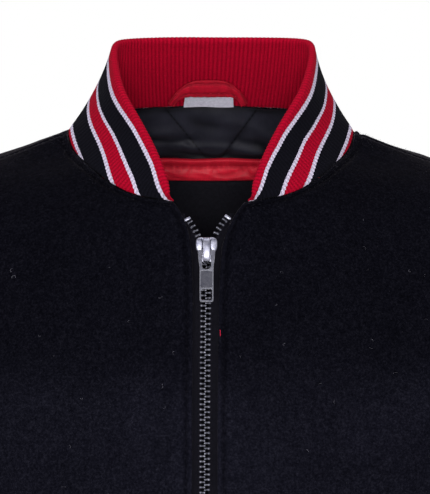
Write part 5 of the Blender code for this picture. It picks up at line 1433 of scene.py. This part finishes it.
def loft(rows_, sides=8, power=0.55):
    """Solid through rounded oblong sections: rows of x, half height, half depth,
    height shift, depth shift.  Returns points and quads or end faces."""
    cx, cy = superellipse(sides, power)
    v, f = [], []
    for x_, hy, hz, oy, oz in rows_:
        v.append(np.stack([np.full(sides, x_), oy + hy * cx, oz + hz * cy], -1))
    n = len(rows_)
    for i in range(n - 1):
        for j in range(sides):
            a, b = i * sides + j, i * sides + (j + 1) % sides
            f.append((a, b, b + sides, a + sides))
    f.append(tuple(range(sides - 1, -1, -1)))
    f.append(tuple((n - 1) * sides + k for k in range(sides)))
    return np.concatenate(v), f


TOOTH = loft([(-2.62, 0.30, 0.66, 0, 0), (-2.50, 0.50, 1.02, 0, 0), (-2.22, 0.58, 1.20, 0, 0), (-1.62, 0.58, 1.20, 0, 0),
              (-1.25, 0.47, 1.02, 0, -0.04), (-0.75, 0.44, 0.92, 0, -0.04), (-0.45, 0.56, 1.05, 0, 0), (0.12, 0.56, 1.02, 0, 0),
              (0.38, 0.42, 0.78, 0, 0), (0.46, 0.20, 0.40, 0, 0)], 10, 0.62)
STOP = loft([(-1.75, 0.5, 0.9, 0, 0), (-1.6, 0.78, 1.28, 0, 0), (-1.2, 0.86, 1.42, 0, 0), (1.2, 0.86, 1.42, 0, 0),
             (1.6, 0.78, 1.28, 0, 0), (1.75, 0.5, 0.9, 0, 0)], 12, 0.55)


def gather_solids(name, parts, mat, body="jacket", replaces=(), deg=38):
    """Joins (points, faces) lists into one mesh, each part turned outwards."""
    vs_, fs_, off = [], [], 0
    for v, f in parts:
        v = np.asarray(v, float)
        vol = sum(float(np.dot(v[t[0]], np.cross(v[t[k]], v[t[k + 1]]))) for t in f for k in range(1, len(t) - 1)) if len(f) < 900 else 1.0
        vs_.append(v)
        fs_.extend([tuple((int(k) + off) for k in (t if vol > 0 else t[::-1])) for t in f])
        off += len(v)
    return add_mesh(name, np.concatenate(vs_), fs_, mat, body=body, deg=deg, replaces=replaces)


def placed(part, origin, ex, ey, ez):
    v, f = part
    return origin + v[:, :1] * ex + v[:, 1:2] * ey + v[:, 2:3] * ez, f


def zip_frame(z_):
    """Point on the zip's line, the way up along it and the way out of it."""
    a, b = behind(0.0, z_ + 1.0, middle(z_ + 1.0)), behind(0.0, z_ - 1.0, middle(z_ - 1.0))
    p_, n_ = behind(0.0, z_, middle(z_))
    up = unit(lean(a[0]) - lean(b[0]))
    n_ = unit(n_ - up * np.dot(n_, up))
    return lean(p_), up, n_, np.cross(up, n_)


PITCH = 2.43
chain = []
rg = np.random.default_rng(17)
for side, start in ((1, SLIDER_END + 1.5), (-1, SLIDER_END + 1.5 - PITCH / 2)):
    z_ = start
    while z_ > ZIP_END + 7.8:
        p_, up, n_, right = zip_frame(z_)
        right = right * (1 if right[0] > 0 else -1)
        tilt = rg.uniform(-0.025, 0.025)
        ex = unit(-side * right + up * tilt)
        ez = unit(n_ + up * rg.uniform(-0.03, 0.03))
        chain.append(placed(TOOTH, p_ + n_ * rg.uniform(-0.04, 0.04), ex, np.cross(ez, ex), ez))
        z_ -= PITCH
gather_solids("zip_teeth", chain, TEETH, replaces=("zip_chain",))

# open teeth above the slider, and the top stops
for side, name in ((1, "left"), (-1, "right")):
    zs_ = np.linspace(-53.5, -41.6, 120)
    path, nrm = [], []
    for z_ in zs_:
        p_, n_ = behind(teeth_x(z_, side), z_, middle(z_))
        path.append(lean(p_ * [side, 1, 1]))
        nrm.append(n_ * [side, 1, 1])
    path, nrm = np.array(path), np.array(nrm)
    arc_ = np.concatenate([[0.0], np.cumsum(np.linalg.norm(np.diff(path, axis=0), axis=1))])
    parts = []
    stop_at = arc_[-1] - (0.9 if side > 0 else 2.0)
    s_ = stop_at - 2.1
    while s_ > 1.6:
        p_ = np.array([np.interp(s_, arc_, path[:, k]) for k in range(3)])
        t_ = unit(np.array([np.interp(s_ + 0.5, arc_, path[:, k]) - np.interp(s_ - 0.5, arc_, path[:, k]) for k in range(3)]))
        n_ = unit(np.array([np.interp(s_, arc_, nrm[:, k]) for k in range(3)]))
        n_ = unit(n_ - t_ * np.dot(n_, t_))
        ex = np.cross(t_, n_)
        ex = ex * (1 if ex[0] * side < 0 else -1)
        ex = unit(ex + t_ * rg.uniform(-0.06, 0.06))
        v_, f_ = TOOTH
        parts.append(placed((v_ + [1.35, 0, 0], f_), p_, ex, np.cross(n_, ex), n_))
        s_ -= PITCH * 1.04
    gather_solids("zip_open_teeth_" + name, parts, TEETH, replaces=("teeth_" + name,))
    p_ = np.array([np.interp(stop_at, arc_, path[:, k]) for k in range(3)])
    t_ = unit(path[-1] - path[-20])
    n_ = unit(nrm[-1] - t_ * np.dot(nrm[-1], t_))
    ex = np.cross(t_, n_)
    gather_solids("zip_stop_" + name, [placed(STOP, p_, ex, np.cross(n_, ex), n_)], STEEL, replaces=("top_stop_" + name,))

# box and pin at the foot of the zip
p_, up, n_, right = zip_frame(ZIP_END + 3.6)
BOX = loft([(-3.6, 2.3, 1.0, 0, 0), (-3.4, 2.75, 1.4, 0, 0), (-2.8, 3.0, 1.5, 0, 0), (2.8, 3.0, 1.5, 0, 0), (3.4, 2.75, 1.4, 0, 0), (3.6, 2.3, 1.0, 0, 0)], 16, 0.4)
RIDGE = loft([(-3.2, 0.35, 0.3, 0, 1.45), (-2.6, 0.5, 0.45, 0, 1.55), (2.6, 0.5, 0.45, 0, 1.55), (3.2, 0.35, 0.3, 0, 1.45)], 10, 0.6)
gather_solids("zip_foot_box", [placed(BOX, p_, up, -right, n_), placed(RIDGE, p_, up, -right, n_)], STEEL, replaces=("zip_box",))

# slider: its own frame has x across, a up along the zip from the tab's axis and b
# forwards
base_p = np.array([-2.0292, -76.6485, -59.3499])
zip_up = unit(np.array([0.0, 0.12863762, 0.99169167]))
base_n = unit(np.array([0.0, -0.99169167, 0.12863762]))
EX = np.array([1.0, 0.0, 0.0])
BODY_HALF, AXIS_B = 2.9, 4.6
axis_p = base_p + base_n * AXIS_B


def rounded(points, radius, n=5):
    """Outline with its corners rounded off."""
    pts = np.asarray(points, float)
    rad = radius if hasattr(radius, "__len__") else [radius] * len(pts)
    out_ = []
    for k in range(len(pts)):
        a, b, c = pts[k - 1], pts[k], pts[(k + 1) % len(pts)]
        r1 = min(rad[k], 0.48 * np.linalg.norm(a - b), 0.48 * np.linalg.norm(c - b))
        p0, p1 = b + unit(a - b) * r1, b + unit(c - b) * r1
        for t in np.linspace(0, 1, n):
            out_.append((1 - t)**2 * p0 + 2 * t * (1 - t) * b + t * t * p1)
    return np.array(out_)


def plate(outlines, half, bevel, res=3):
    """Bevelled plate with holes; returns points (x, a, b) and faces."""
    cu = bpy.data.curves.new("tmp", "CURVE")
    cu.dimensions = "2D"
    cu.fill_mode = "BOTH"
    cu.extrude = half - bevel
    cu.bevel_depth = bevel
    cu.bevel_resolution = res
    cu.offset = -bevel
    for o in outlines:
        sp = cu.splines.new("POLY")
        sp.points.add(len(o) - 1)
        for pt, (x_, y_) in zip(sp.points, o):
            pt.co = (x_, y_, 0, 1)
        sp.use_cyclic_u = True
    ob_ = bpy.data.objects.new("tmp", cu)
    bpy.context.scene.collection.objects.link(ob_)
    dg = bpy.context.evaluated_depsgraph_get()
    me = bpy.data.meshes.new_from_object(ob_.evaluated_get(dg))
    v = np.array([tuple(x.co) for x in me.vertices])
    f = [tuple(q_.vertices) for q_ in me.polygons]
    bpy.data.objects.remove(ob_, do_unlink=True)
    bpy.data.meshes.remove(me)
    bpy.data.curves.remove(cu)
    return v, f


LOBES = rounded([(-1.0, 7.1), (-2.3, 7.35), (-4.5, 7.0), (-5.25, 4.9), (-5.0, 2.4), (-4.2, 0.6), (-3.6, -1.0), (-3.2, -4.6),
                 (3.2, -4.6), (3.6, -1.0), (4.2, 0.6), (5.0, 2.4), (5.25, 4.9), (4.5, 7.0), (2.3, 7.35), (1.0, 7.1)],
                [0.6, 1.0, 2.0, 2.0, 1.5, 1.2, 1.0, 1.0, 1.0, 1.0, 1.2, 1.5, 2.0, 2.0, 1.0, 0.6])


def pad(cx, ca, rx, ra, top, n=20, m=6, lean_=0.0):
    """Pillow-shaped lobe on the slider's face, nearly flat on top."""
    v, f = [], []
    for i in range(m + 1):
        el = math.pi / 2 * i / m
        for j in range(n):
            t = 2 * math.pi * j / n
            k = math.cos(el)**0.55
            dx = rx * k * np.sign(math.cos(t)) * abs(math.cos(t))**0.75
            v.append((cx + dx, ca + ra * k * np.sign(math.sin(t)) * abs(math.sin(t))**0.75, (top - lean_ * dx) * math.sin(el)**0.6))
    for i in range(m):
        for j in range(n):
            a, b = i * n + j, i * n + (j + 1) % n
            f.append((a, b, b + n, a + n))
    f.append(tuple(range(n - 1, -1, -1)))
    f.append(tuple(m * n + k for k in range(n)))
    return np.array(v), f


v_, f_ = plate([LOBES], 0.95, 0.55, 4)
front_plate = placed((v_, f_), base_p + base_n * (BODY_HALF - 0.95), EX, zip_up, base_n)
v_, f_ = plate([LOBES], 0.65, 0.35, 3)
back_plate = placed((v_, f_), base_p + base_n * -3.05, EX, zip_up, base_n)
core = placed(plate([rounded([(-1.4, 7.0), (-1.0, 0.0), (1.0, 0.0), (1.4, 7.0)], 0.4)], 2.3, 0.2, 1), base_p + base_n * -0.5, EX, zip_up, base_n)
flange_l = placed(plate([rounded([(-4.2, 0.5), (-3.5, -3.3), (-2.95, -3.3), (-3.4, 0.5)], 0.2)], 2.3, 0.2, 1), base_p + base_n * -0.5, EX, zip_up, base_n)
flange_r = placed(plate([rounded([(4.2, 0.5), (3.4, 0.5), (2.95, -3.3), (3.5, -3.3)], 0.2)], 2.3, 0.2, 1), base_p + base_n * -0.5, EX, zip_up, base_n)
pads = [placed(pad(cx, 3.75, 1.85, 3.25, 1.0, 24, 8, tip), base_p + base_n * (BODY_HALF - 0.35), EX, zip_up, base_n)
        for cx, tip in ((-3.28, 0.02), (3.28, 0.13))]
# crown: an arched strap from the top edge over the tab's bar, rounded across
CROWN_LINE = [(6.75, -0.3), (6.7, 0.9), (6.35, 1.9), (5.6, 2.7), (4.4, 3.25), (2.6, 3.5), (0.6, 3.55), (-1.4, 3.5), (-2.9, 3.2), (-4.0, 2.5), (-4.4, 1.4), (-4.45, -0.3)]
cl_ = np.array(CROWN_LINE)
tt_ = np.linspace(0, len(cl_) - 1, 34)
cl_ = np.stack([smooth(tt_, np.arange(len(cl_)), cl_[:, k]) for k in range(2)], -1)
dirs = unit(np.gradient(cl_, axis=0))
wide = np.interp(np.linspace(0, 1, 34), [0, 0.15, 0.4, 0.75, 0.9, 1], [1.55, 1.62, 1.72, 1.70, 1.5, 1.35])
cx_, cy_ = superellipse(16, 0.6)
v_, f_ = [], []
for k in range(34):
    nb = np.array([-dirs[k, 1], dirs[k, 0]])
    for a, b in zip(cx_, cy_):
        q_ = cl_[k] + nb * b * 0.42
        v_.append((a * wide[k], q_[0], q_[1] + 0.0))
for k in range(33):
    for j in range(16):
        a, b = k * 16 + j, k * 16 + (j + 1) % 16
        f_.append((a, b, b + 16, a + 16))
f_.append(tuple(range(15, -1, -1)))
f_.append(tuple(33 * 16 + k for k in range(16)))
crown = placed((np.array(v_), f_), base_p + base_n * BODY_HALF, EX, zip_up, base_n)
gather_solids("zip_slider_body", [front_plate, back_plate, core, flange_l, flange_r, crown] + pads, STEEL, replaces=("zip_slider",), deg=50)

# pull tab: a frame with two windows and a sunk plate between them
TAB_LONG, TAB_THICK = 23.7, 1.5
OUT = rounded([(-3.55, 0.85), (3.55, 0.85), (4.0, -1.4), (3.75, -4.2), (3.3, -7.2), (3.28, -TAB_LONG), (-3.28, -TAB_LONG), (-3.3, -7.2),
               (-3.75, -4.2), (-4.0, -1.4)], [0.5, 0.5, 1.5, 2.0, 2.5, 1.1, 1.1, 2.5, 2.0, 1.5])
HOLE1 = rounded([(-2.1, -0.85), (-2.1, -8.1), (2.1, -8.1), (2.1, -0.85)], [0.35, 1.5, 1.5, 0.35])
SINK = rounded([(-2.62, -9.1), (-2.62, -16.9), (2.62, -16.9), (2.62, -9.1)], 0.3)
HOLE2 = rounded([(-2.6, -17.7), (-2.6, -22.8), (2.6, -22.8), (2.6, -17.7)], 0.7)
tab_frame = placed(plate([OUT, HOLE1, SINK, HOLE2], TAB_THICK / 2, 0.22, 3), axis_p, EX, zip_up, base_n)
web = placed(plate([rounded([(-2.78, -8.9), (-2.78, -17.2), (2.78, -17.2), (2.78, -8.9)], 0.3)], 0.30, 0.06, 1), axis_p, EX, zip_up, base_n)
ob = gather_solids("zip_pull_tab", [tab_frame], TAB_STEEL, body="tab", replaces=("pull_tab",), deg=50)
# painted highlight: the tab frame's sides and rounded rims take the lighter edge colour
co = np.zeros(len(ob.data.vertices) * 3)
ob.data.vertices.foreach_get("co", co)
rise = np.abs((co.reshape(-1, 3) / MM - axis_p) @ base_n)
at = ob.data.attributes.new("edge", "FLOAT", "POINT")
at.data.foreach_set("value", np.clip((TAB_THICK / 2 - rise) / 0.06, 0, 1).astype(np.float32))
gather_solids("zip_tab_web", [web], WEB_STEEL, body="tab", deg=50)

# ---------------------------------------------------------------- threads and lint

def tube(pts, radius, sides=5):
    pts = np.asarray(pts, float)
    t = unit(np.gradient(pts, axis=0))
    ref = np.array([0.0, 0.0, 1.0]) if abs(t[0, 2]) < 0.8 else np.array([1.0, 0.0, 0.0])
    a = unit(np.cross(t, ref))
    b = np.cross(t, a)
    ang = 2 * np.pi * np.arange(sides) / sides
    rad = np.broadcast_to(np.asarray(radius, float), (len(pts),))
    v = pts[:, None] + rad[:, None, None] * (np.cos(ang)[None, :, None] * a[:, None] + np.sin(ang)[None, :, None] * b[:, None])
    n = len(pts)
    f = [(i * sides + j, i * sides + (j + 1) % sides, (i + 1) * sides + (j + 1) % sides, (i + 1) * sides + j) for i in range(n - 1) for j in range(sides)]
    f += [tuple(range(sides - 1, -1, -1)), tuple((n - 1) * sides + k for k in range(sides))]
    return v.reshape(-1, 3), f


def stitch_row(path, nrm, length, gap, radius, rg_, sink=0.18, high=0.10):
    """Thread stitches lying on a line."""
    arc_ = np.concatenate([[0.0], np.cumsum(np.linalg.norm(np.diff(path, axis=0), axis=1))])
    out_, s = [], 0.4
    while s < arc_[-1] - length:
        ln = length * rg_.uniform(0.92, 1.08)
        u = np.linspace(0, 1, 6)
        at_ = s + u * ln
        p_ = np.stack([np.interp(at_, arc_, path[:, k]) for k in range(3)], -1)
        n_ = unit(np.stack([np.interp(at_, arc_, nrm[:, k]) for k in range(3)], -1))
        lift = -sink + (sink + high) * np.sin(math.pi * u)**0.6
        out_.append(tube(p_ + n_ * lift[:, None], radius * (0.7 + 0.3 * np.sin(math.pi * u)), 6))
        s += ln + gap
    return out_


rg = np.random.default_rng(23)
stitches = []
for side in (1, -1):
    outer, nn = panels[side]
    js = np.array([np.interp(3.2, F_IN[i], np.arange(NF)) for i in range(NV)])
    ok = F_NECK[np.arange(NV), np.round(js).astype(int)] > 3.4
    i_ok = np.where(ok)[0].astype(float)
    path = sample(outer, i_ok, js[ok])
    nrm = sample(nn, i_ok, js[ok])
    col = np.arange(int(round(js[8])), NF - 1)
    i_n = np.array([np.interp(3.2, F_NECK[:, j], np.arange(NV)) for j in col])
    path2, nrm2 = sample(outer, i_n, col.astype(float)), sample(nn, i_n, col.astype(float))
    path = np.concatenate([path2[::-1], path[1:]])
    nrm = np.concatenate([nrm2[::-1], nrm[1:]])
    stitches += stitch_row(path, nrm, 2.5, 0.55, 0.20, rg, 0.24, 0.02)
bn_ = vert_normals(back_outer, loop=False)
if bn_[NV // 2, MIDC, 1] < 0:
    bn_ = -bn_
cols_ = np.arange(1, NC - 1)
i_n = np.array([np.interp(3.2, B_NK[:, j], np.arange(NV)) for j in cols_])
stitches += stitch_row(sample(back_outer, i_n, cols_.astype(float)), sample(bn_, i_n, cols_.astype(float)), 2.5, 0.55, 0.20, rg, 0.24, 0.02)
gather_solids("seam_stitches", stitches, THREAD)

red_st = []
for w_ in (0.20, 0.83):
    k = w_ * 14
    a = LOOP_GRID[int(k)] * (1 - k % 1) + LOOP_GRID[int(k) + 1] * (k % 1)
    red_st += stitch_row(a[3:-3], np.broadcast_to(face, a[3:-3].shape), 1.7, 0.5, 0.16, rg, 0.12, 0.14)
zb = BAND_TOP + (BAND_BOTTOM - BAND_TOP) * 0.33
p_, n_ = on_back([zb], np.linspace(-54, 54, 109), on_lining + 1.0)
red_st += stitch_row(p_[0] + n_[0] * 0.5, -n_[0], 1.9, 0.6, 0.17, rg, 0.1, 0.2)
gather_solids("red_stitches", red_st, RED_THREAD)


def on_front(x, z):
    """Point and normal of the front's outer face nearest to x and height z."""
    outer, nn = panels[1 if x > -2.3 else -1]
    d = (outer[..., 0] - x)**2 + (outer[..., 2] - z)**2
    i, j = np.unravel_index(np.argmin(d), d.shape)
    return outer[i, j], nn[i, j]


def fibre(p, n, length, curl, radius, rg_, lift=0.12):
    """A loose curled hair lying on the cloth."""
    t = unit(np.cross(n, rg_.normal(size=3)))
    b = np.cross(n, t)
    pts, q_ = [], np.array(p) + n * lift
    ang, da = rg_.uniform(0, 6.28), curl * rg_.uniform(0.5, 1.5) * rg_.choice([-1, 1])
    for k in range(8):
        pts.append(q_ + n * (0.16 * math.sin(k * 1.1)))
        q_ = q_ + (t * math.cos(ang) + b * math.sin(ang)) * (length / 7)
        ang += da / 7 + rg_.uniform(-0.3, 0.3)
    return tube(pts, radius, 3)


# the lint that shows most: x, z, length in mm
LINT_AT = [(-16.9, -104.5, 2.2), (-23.5, -123.4, 2.4), (-60.7, -127.2, 1.6), (57.1, -128.6, 1.8), (-95.2, -67.0, 2.6), (93.9, -68.6, 1.8),
           (-67.3, -149.8, 1.8), (46.8, -152.6, 1.8), (-93.5, -72.0, 3.6), (30.3, -84.0, 1.4), (-40.0, -92.0, 1.3), (76.0, -100.0, 1.5)]
hairs = []
for x_, z_, ln in LINT_AT:
    p_, n_ = on_front(x_, z_)
    hairs.append(fibre(p_, n_, ln, 2.4, 0.085, rg))
for _ in range(90):
    side = rg.choice([1, -1])
    outer, nn = panels[side]
    i, j = rg.integers(20, NV - 6), rg.integers(14, NF - 4)
    hairs.append(fibre(outer[i, j], nn[i, j], rg.uniform(0.8, 2.6), rg.uniform(0.5, 5.0), rg.uniform(0.025, 0.055), rg))
for _ in range(80):
    i, j = rg.integers(20, NV - 6), rg.integers(6, NC - 6)
    hairs.append(fibre(back_outer[i, j], bn_[i, j], rg.uniform(0.8, 3.0), rg.uniform(0.5, 5.0), rg.uniform(0.03, 0.06), rg))
gather_solids("lint_fibres", hairs, LINT)


def nap_hairs(p, n, rg_, lo_, hi_, radius, flat=0.5):
    """Short bent hairs standing off the cloth; three sided, two lengths each."""
    k = len(p)
    d = unit(n * flat + rg_.normal(size=(k, 3)) * 0.55)
    d = unit(d + n * np.clip(0.15 - np.sum(d * n, -1), 0, None)[:, None] * 1.2)
    d2 = unit(d + rg_.normal(size=(k, 3)) * 0.45 + n * 0.05)
    ln = rg_.uniform(lo_, hi_, (k, 1)) * np.interp(np.abs(p[:, :1]), [88, 106], [0.5, 1.0])
    a = unit(np.cross(d, rg_.normal(size=(k, 3))))
    b = np.cross(d, a)
    mids = [p - n * 0.10, p + d * ln * 0.5, p + d * ln * 0.5 + d2 * ln * 0.5]
    v = np.stack([m_[:, None] + r2 * (np.cos(t_)[None, :, None] * a[:, None] + np.sin(t_)[None, :, None] * b[:, None])
                  for m_, r2 in zip(mids, (radius, radius * 0.8, radius * 0.35))
                  for t_ in [np.array([0.0, 2.0944, 4.1888])]], 1).reshape(k * 9, 3)
    base = (np.arange(k) * 9)[:, None]
    quads_ = np.concatenate([base + np.array([[r3 * 3 + j, r3 * 3 + (j + 1) % 3, r3 * 3 + 3 + (j + 1) % 3, r3 * 3 + 3 + j]]) for r3 in (0, 1) for j in range(3)])
    caps = np.concatenate([base + np.array([[2, 1, 0]]), base + np.array([[6, 7, 8]])])
    return v, [tuple(int(i) for i in q_) for q_ in quads_] + [tuple(int(i) for i in q_) for q_ in caps]


vs_, fs_, off_ = [], [], 0
rg = np.random.default_rng(91)
for side in (1, -1):
    outer, nn = panels[side]
    w_edge = np.exp(-F_OUT / 3.5) * (outer[..., 2] > -75) + 0.8 * np.exp(-F_NECK / 2.2) * (outer[..., 2] > -60) + 0.012 * (outer[..., 2] > -190)
    w_edge = (w_edge * (F_IN > 2.0)).reshape(-1)
    pick = rg.choice(len(w_edge), 1050, p=w_edge / w_edge.sum())
    vs_.append(nap_hairs(outer.reshape(-1, 3)[pick] + rg.normal(size=(1050, 3)) * 0.25, nn.reshape(-1, 3)[pick], rg, 0.7, 2.2, 0.045))
w_edge = (np.exp(-B_SIDE / 3.5) * (back_outer[..., 2] > -75) + 0.006).reshape(-1)
pick = rg.choice(len(w_edge), 800, p=w_edge / w_edge.sum())
vs_.append(nap_hairs(back_outer.reshape(-1, 3)[pick] + rg.normal(size=(800, 3)) * 0.25, bn_.reshape(-1, 3)[pick], rg, 0.7, 2.2, 0.045))
pts_, fs_, off_ = [], [], 0
for v_, f_ in vs_:
    pts_.append(v_)
    fs_ += [tuple(i + off_ for i in q_) for q_ in f_]
    off_ += len(v_)
add_mesh("wool_nap_hairs", np.concatenate(pts_), fs_, NAP_HAIR, deg=80)

p_, n_ = on_front(3.1, -96.5)
gather_solids("red_thread_end", [tube([p_ + n_ * 0.1 + np.array([dx, 0, dz]) for dx, dz in ((-0.1, 1.5), (0.1, 0.8), (0.0, 0.0), (0.15, -0.8), (0.05, -1.5))], 0.2, 6)],
              RED_THREAD)

# ---------------------------------------------------------------- room

cam = bpy.data.cameras.new("camera")
cam.lens, cam.sensor_width = 311.9, 36.0
cam.clip_start, cam.clip_end = 0.1, 60.0
co_ = bpy.data.objects.new("camera", cam)
co_.location = (1.95 * MM, -2095 * MM, -56.4 * MM)
co_.rotation_euler = (math.pi / 2, 0, 0)
bpy.context.scene.collection.objects.link(co_)
bpy.context.scene.camera = co_


def soft_light(name, at, aim, size, watts, tint=(1, 1, 1)):
    li = bpy.data.lights.new(name, "AREA")
    li.shape = "RECTANGLE"
    li.size, li.size_y = size
    li.energy = watts
    li.color = tint
    o = bpy.data.objects.new(name, li)
    o.location = at
    o.visible_camera = False
    d = np.array(aim) - np.array(at)
    from mathutils import Vector
    o.rotation_euler = Vector(d).to_track_quat("-Z", "Y").to_euler()
    bpy.context.scene.collection.objects.link(o)
    return o


soft_light("key", (-1.20, -1.85, 0.70), (0, 0, -0.1), (0.9, 1.1), 12.0)
soft_light("fill", (1.35, -1.75, 0.55), (0, 0, -0.1), (0.9, 1.1), 5.5)
soft_light("low_front", (0.0, -2.35, -0.50), (0, 0, -0.02), (1.3, 0.6), 9.0)
soft_light("front", (0.0, -2.40, -0.06), (0, 0, -0.06), (0.55, 0.45), 34.0)
soft_light("top", (0.0, -0.1, 1.7), (0, 0, 0), (1.3, 1.0), 12.0)

me = bpy.data.meshes.new("floor")
me.from_pydata([(-7, -7, -0.6), (7, -7, -0.6), (7, 7, -0.6), (-7, 7, -0.6)], [], [(0, 1, 2, 3)])
floor = bpy.data.objects.new("floor", me)
fm = bpy.data.materials.new("floor")
fm.use_nodes = True
fm.node_tree.nodes["Principled BSDF"].inputs["Base Color"].default_value = (0.80, 0.80, 0.80, 1)
fm.node_tree.nodes["Principled BSDF"].inputs["Roughness"].default_value = 0.9
me.materials.append(fm)
bpy.context.scene.collection.objects.link(floor)

world = bpy.data.worlds.new("room")
bpy.context.scene.world = world
world.use_nodes = True
nt = world.node_tree
nt.nodes.clear()
out = nt.nodes.new("ShaderNodeOutputWorld")
white = nt.nodes.new("ShaderNodeBackground")
white.inputs[0].default_value = (1, 1, 1, 1)
soft_bg = nt.nodes.new("ShaderNodeBackground")
lp = nt.nodes.new("ShaderNodeLightPath")
mx = nt.nodes.new("ShaderNodeMixShader")
tc = nt.nodes.new("ShaderNodeTexCoord")
sp = nt.nodes.new("ShaderNodeSeparateXYZ")
rp = nt.nodes.new("ShaderNodeValToRGB")
mr = nt.nodes.new("ShaderNodeMapRange")
nt.links.new(tc.outputs["Generated"], sp.inputs[0])
nt.links.new(sp.outputs[1], mr.inputs[0])
mr.inputs[1].default_value, mr.inputs[2].default_value = -1.0, 1.0
nt.links.new(mr.outputs[0], rp.inputs[0])
els = rp.color_ramp.elements
els[0].position, els[0].color = 0.0, (0.30, 0.30, 0.33, 1)
els[1].position, els[1].color = 1.0, (0.90, 0.90, 0.93, 1)
e_ = els.new(0.45)
e_.color = (0.52, 0.52, 0.55, 1)
nt.links.new(rp.outputs[0], soft_bg.inputs[0])
nt.links.new(lp.outputs["Is Camera Ray"], mx.inputs[0])
nt.links.new(soft_bg.outputs[0], mx.inputs[1])
nt.links.new(white.outputs[0], mx.inputs[2])
nt.links.new(mx.outputs[0], out.inputs[0])
bpy.context.scene.view_settings.view_transform = "Standard"
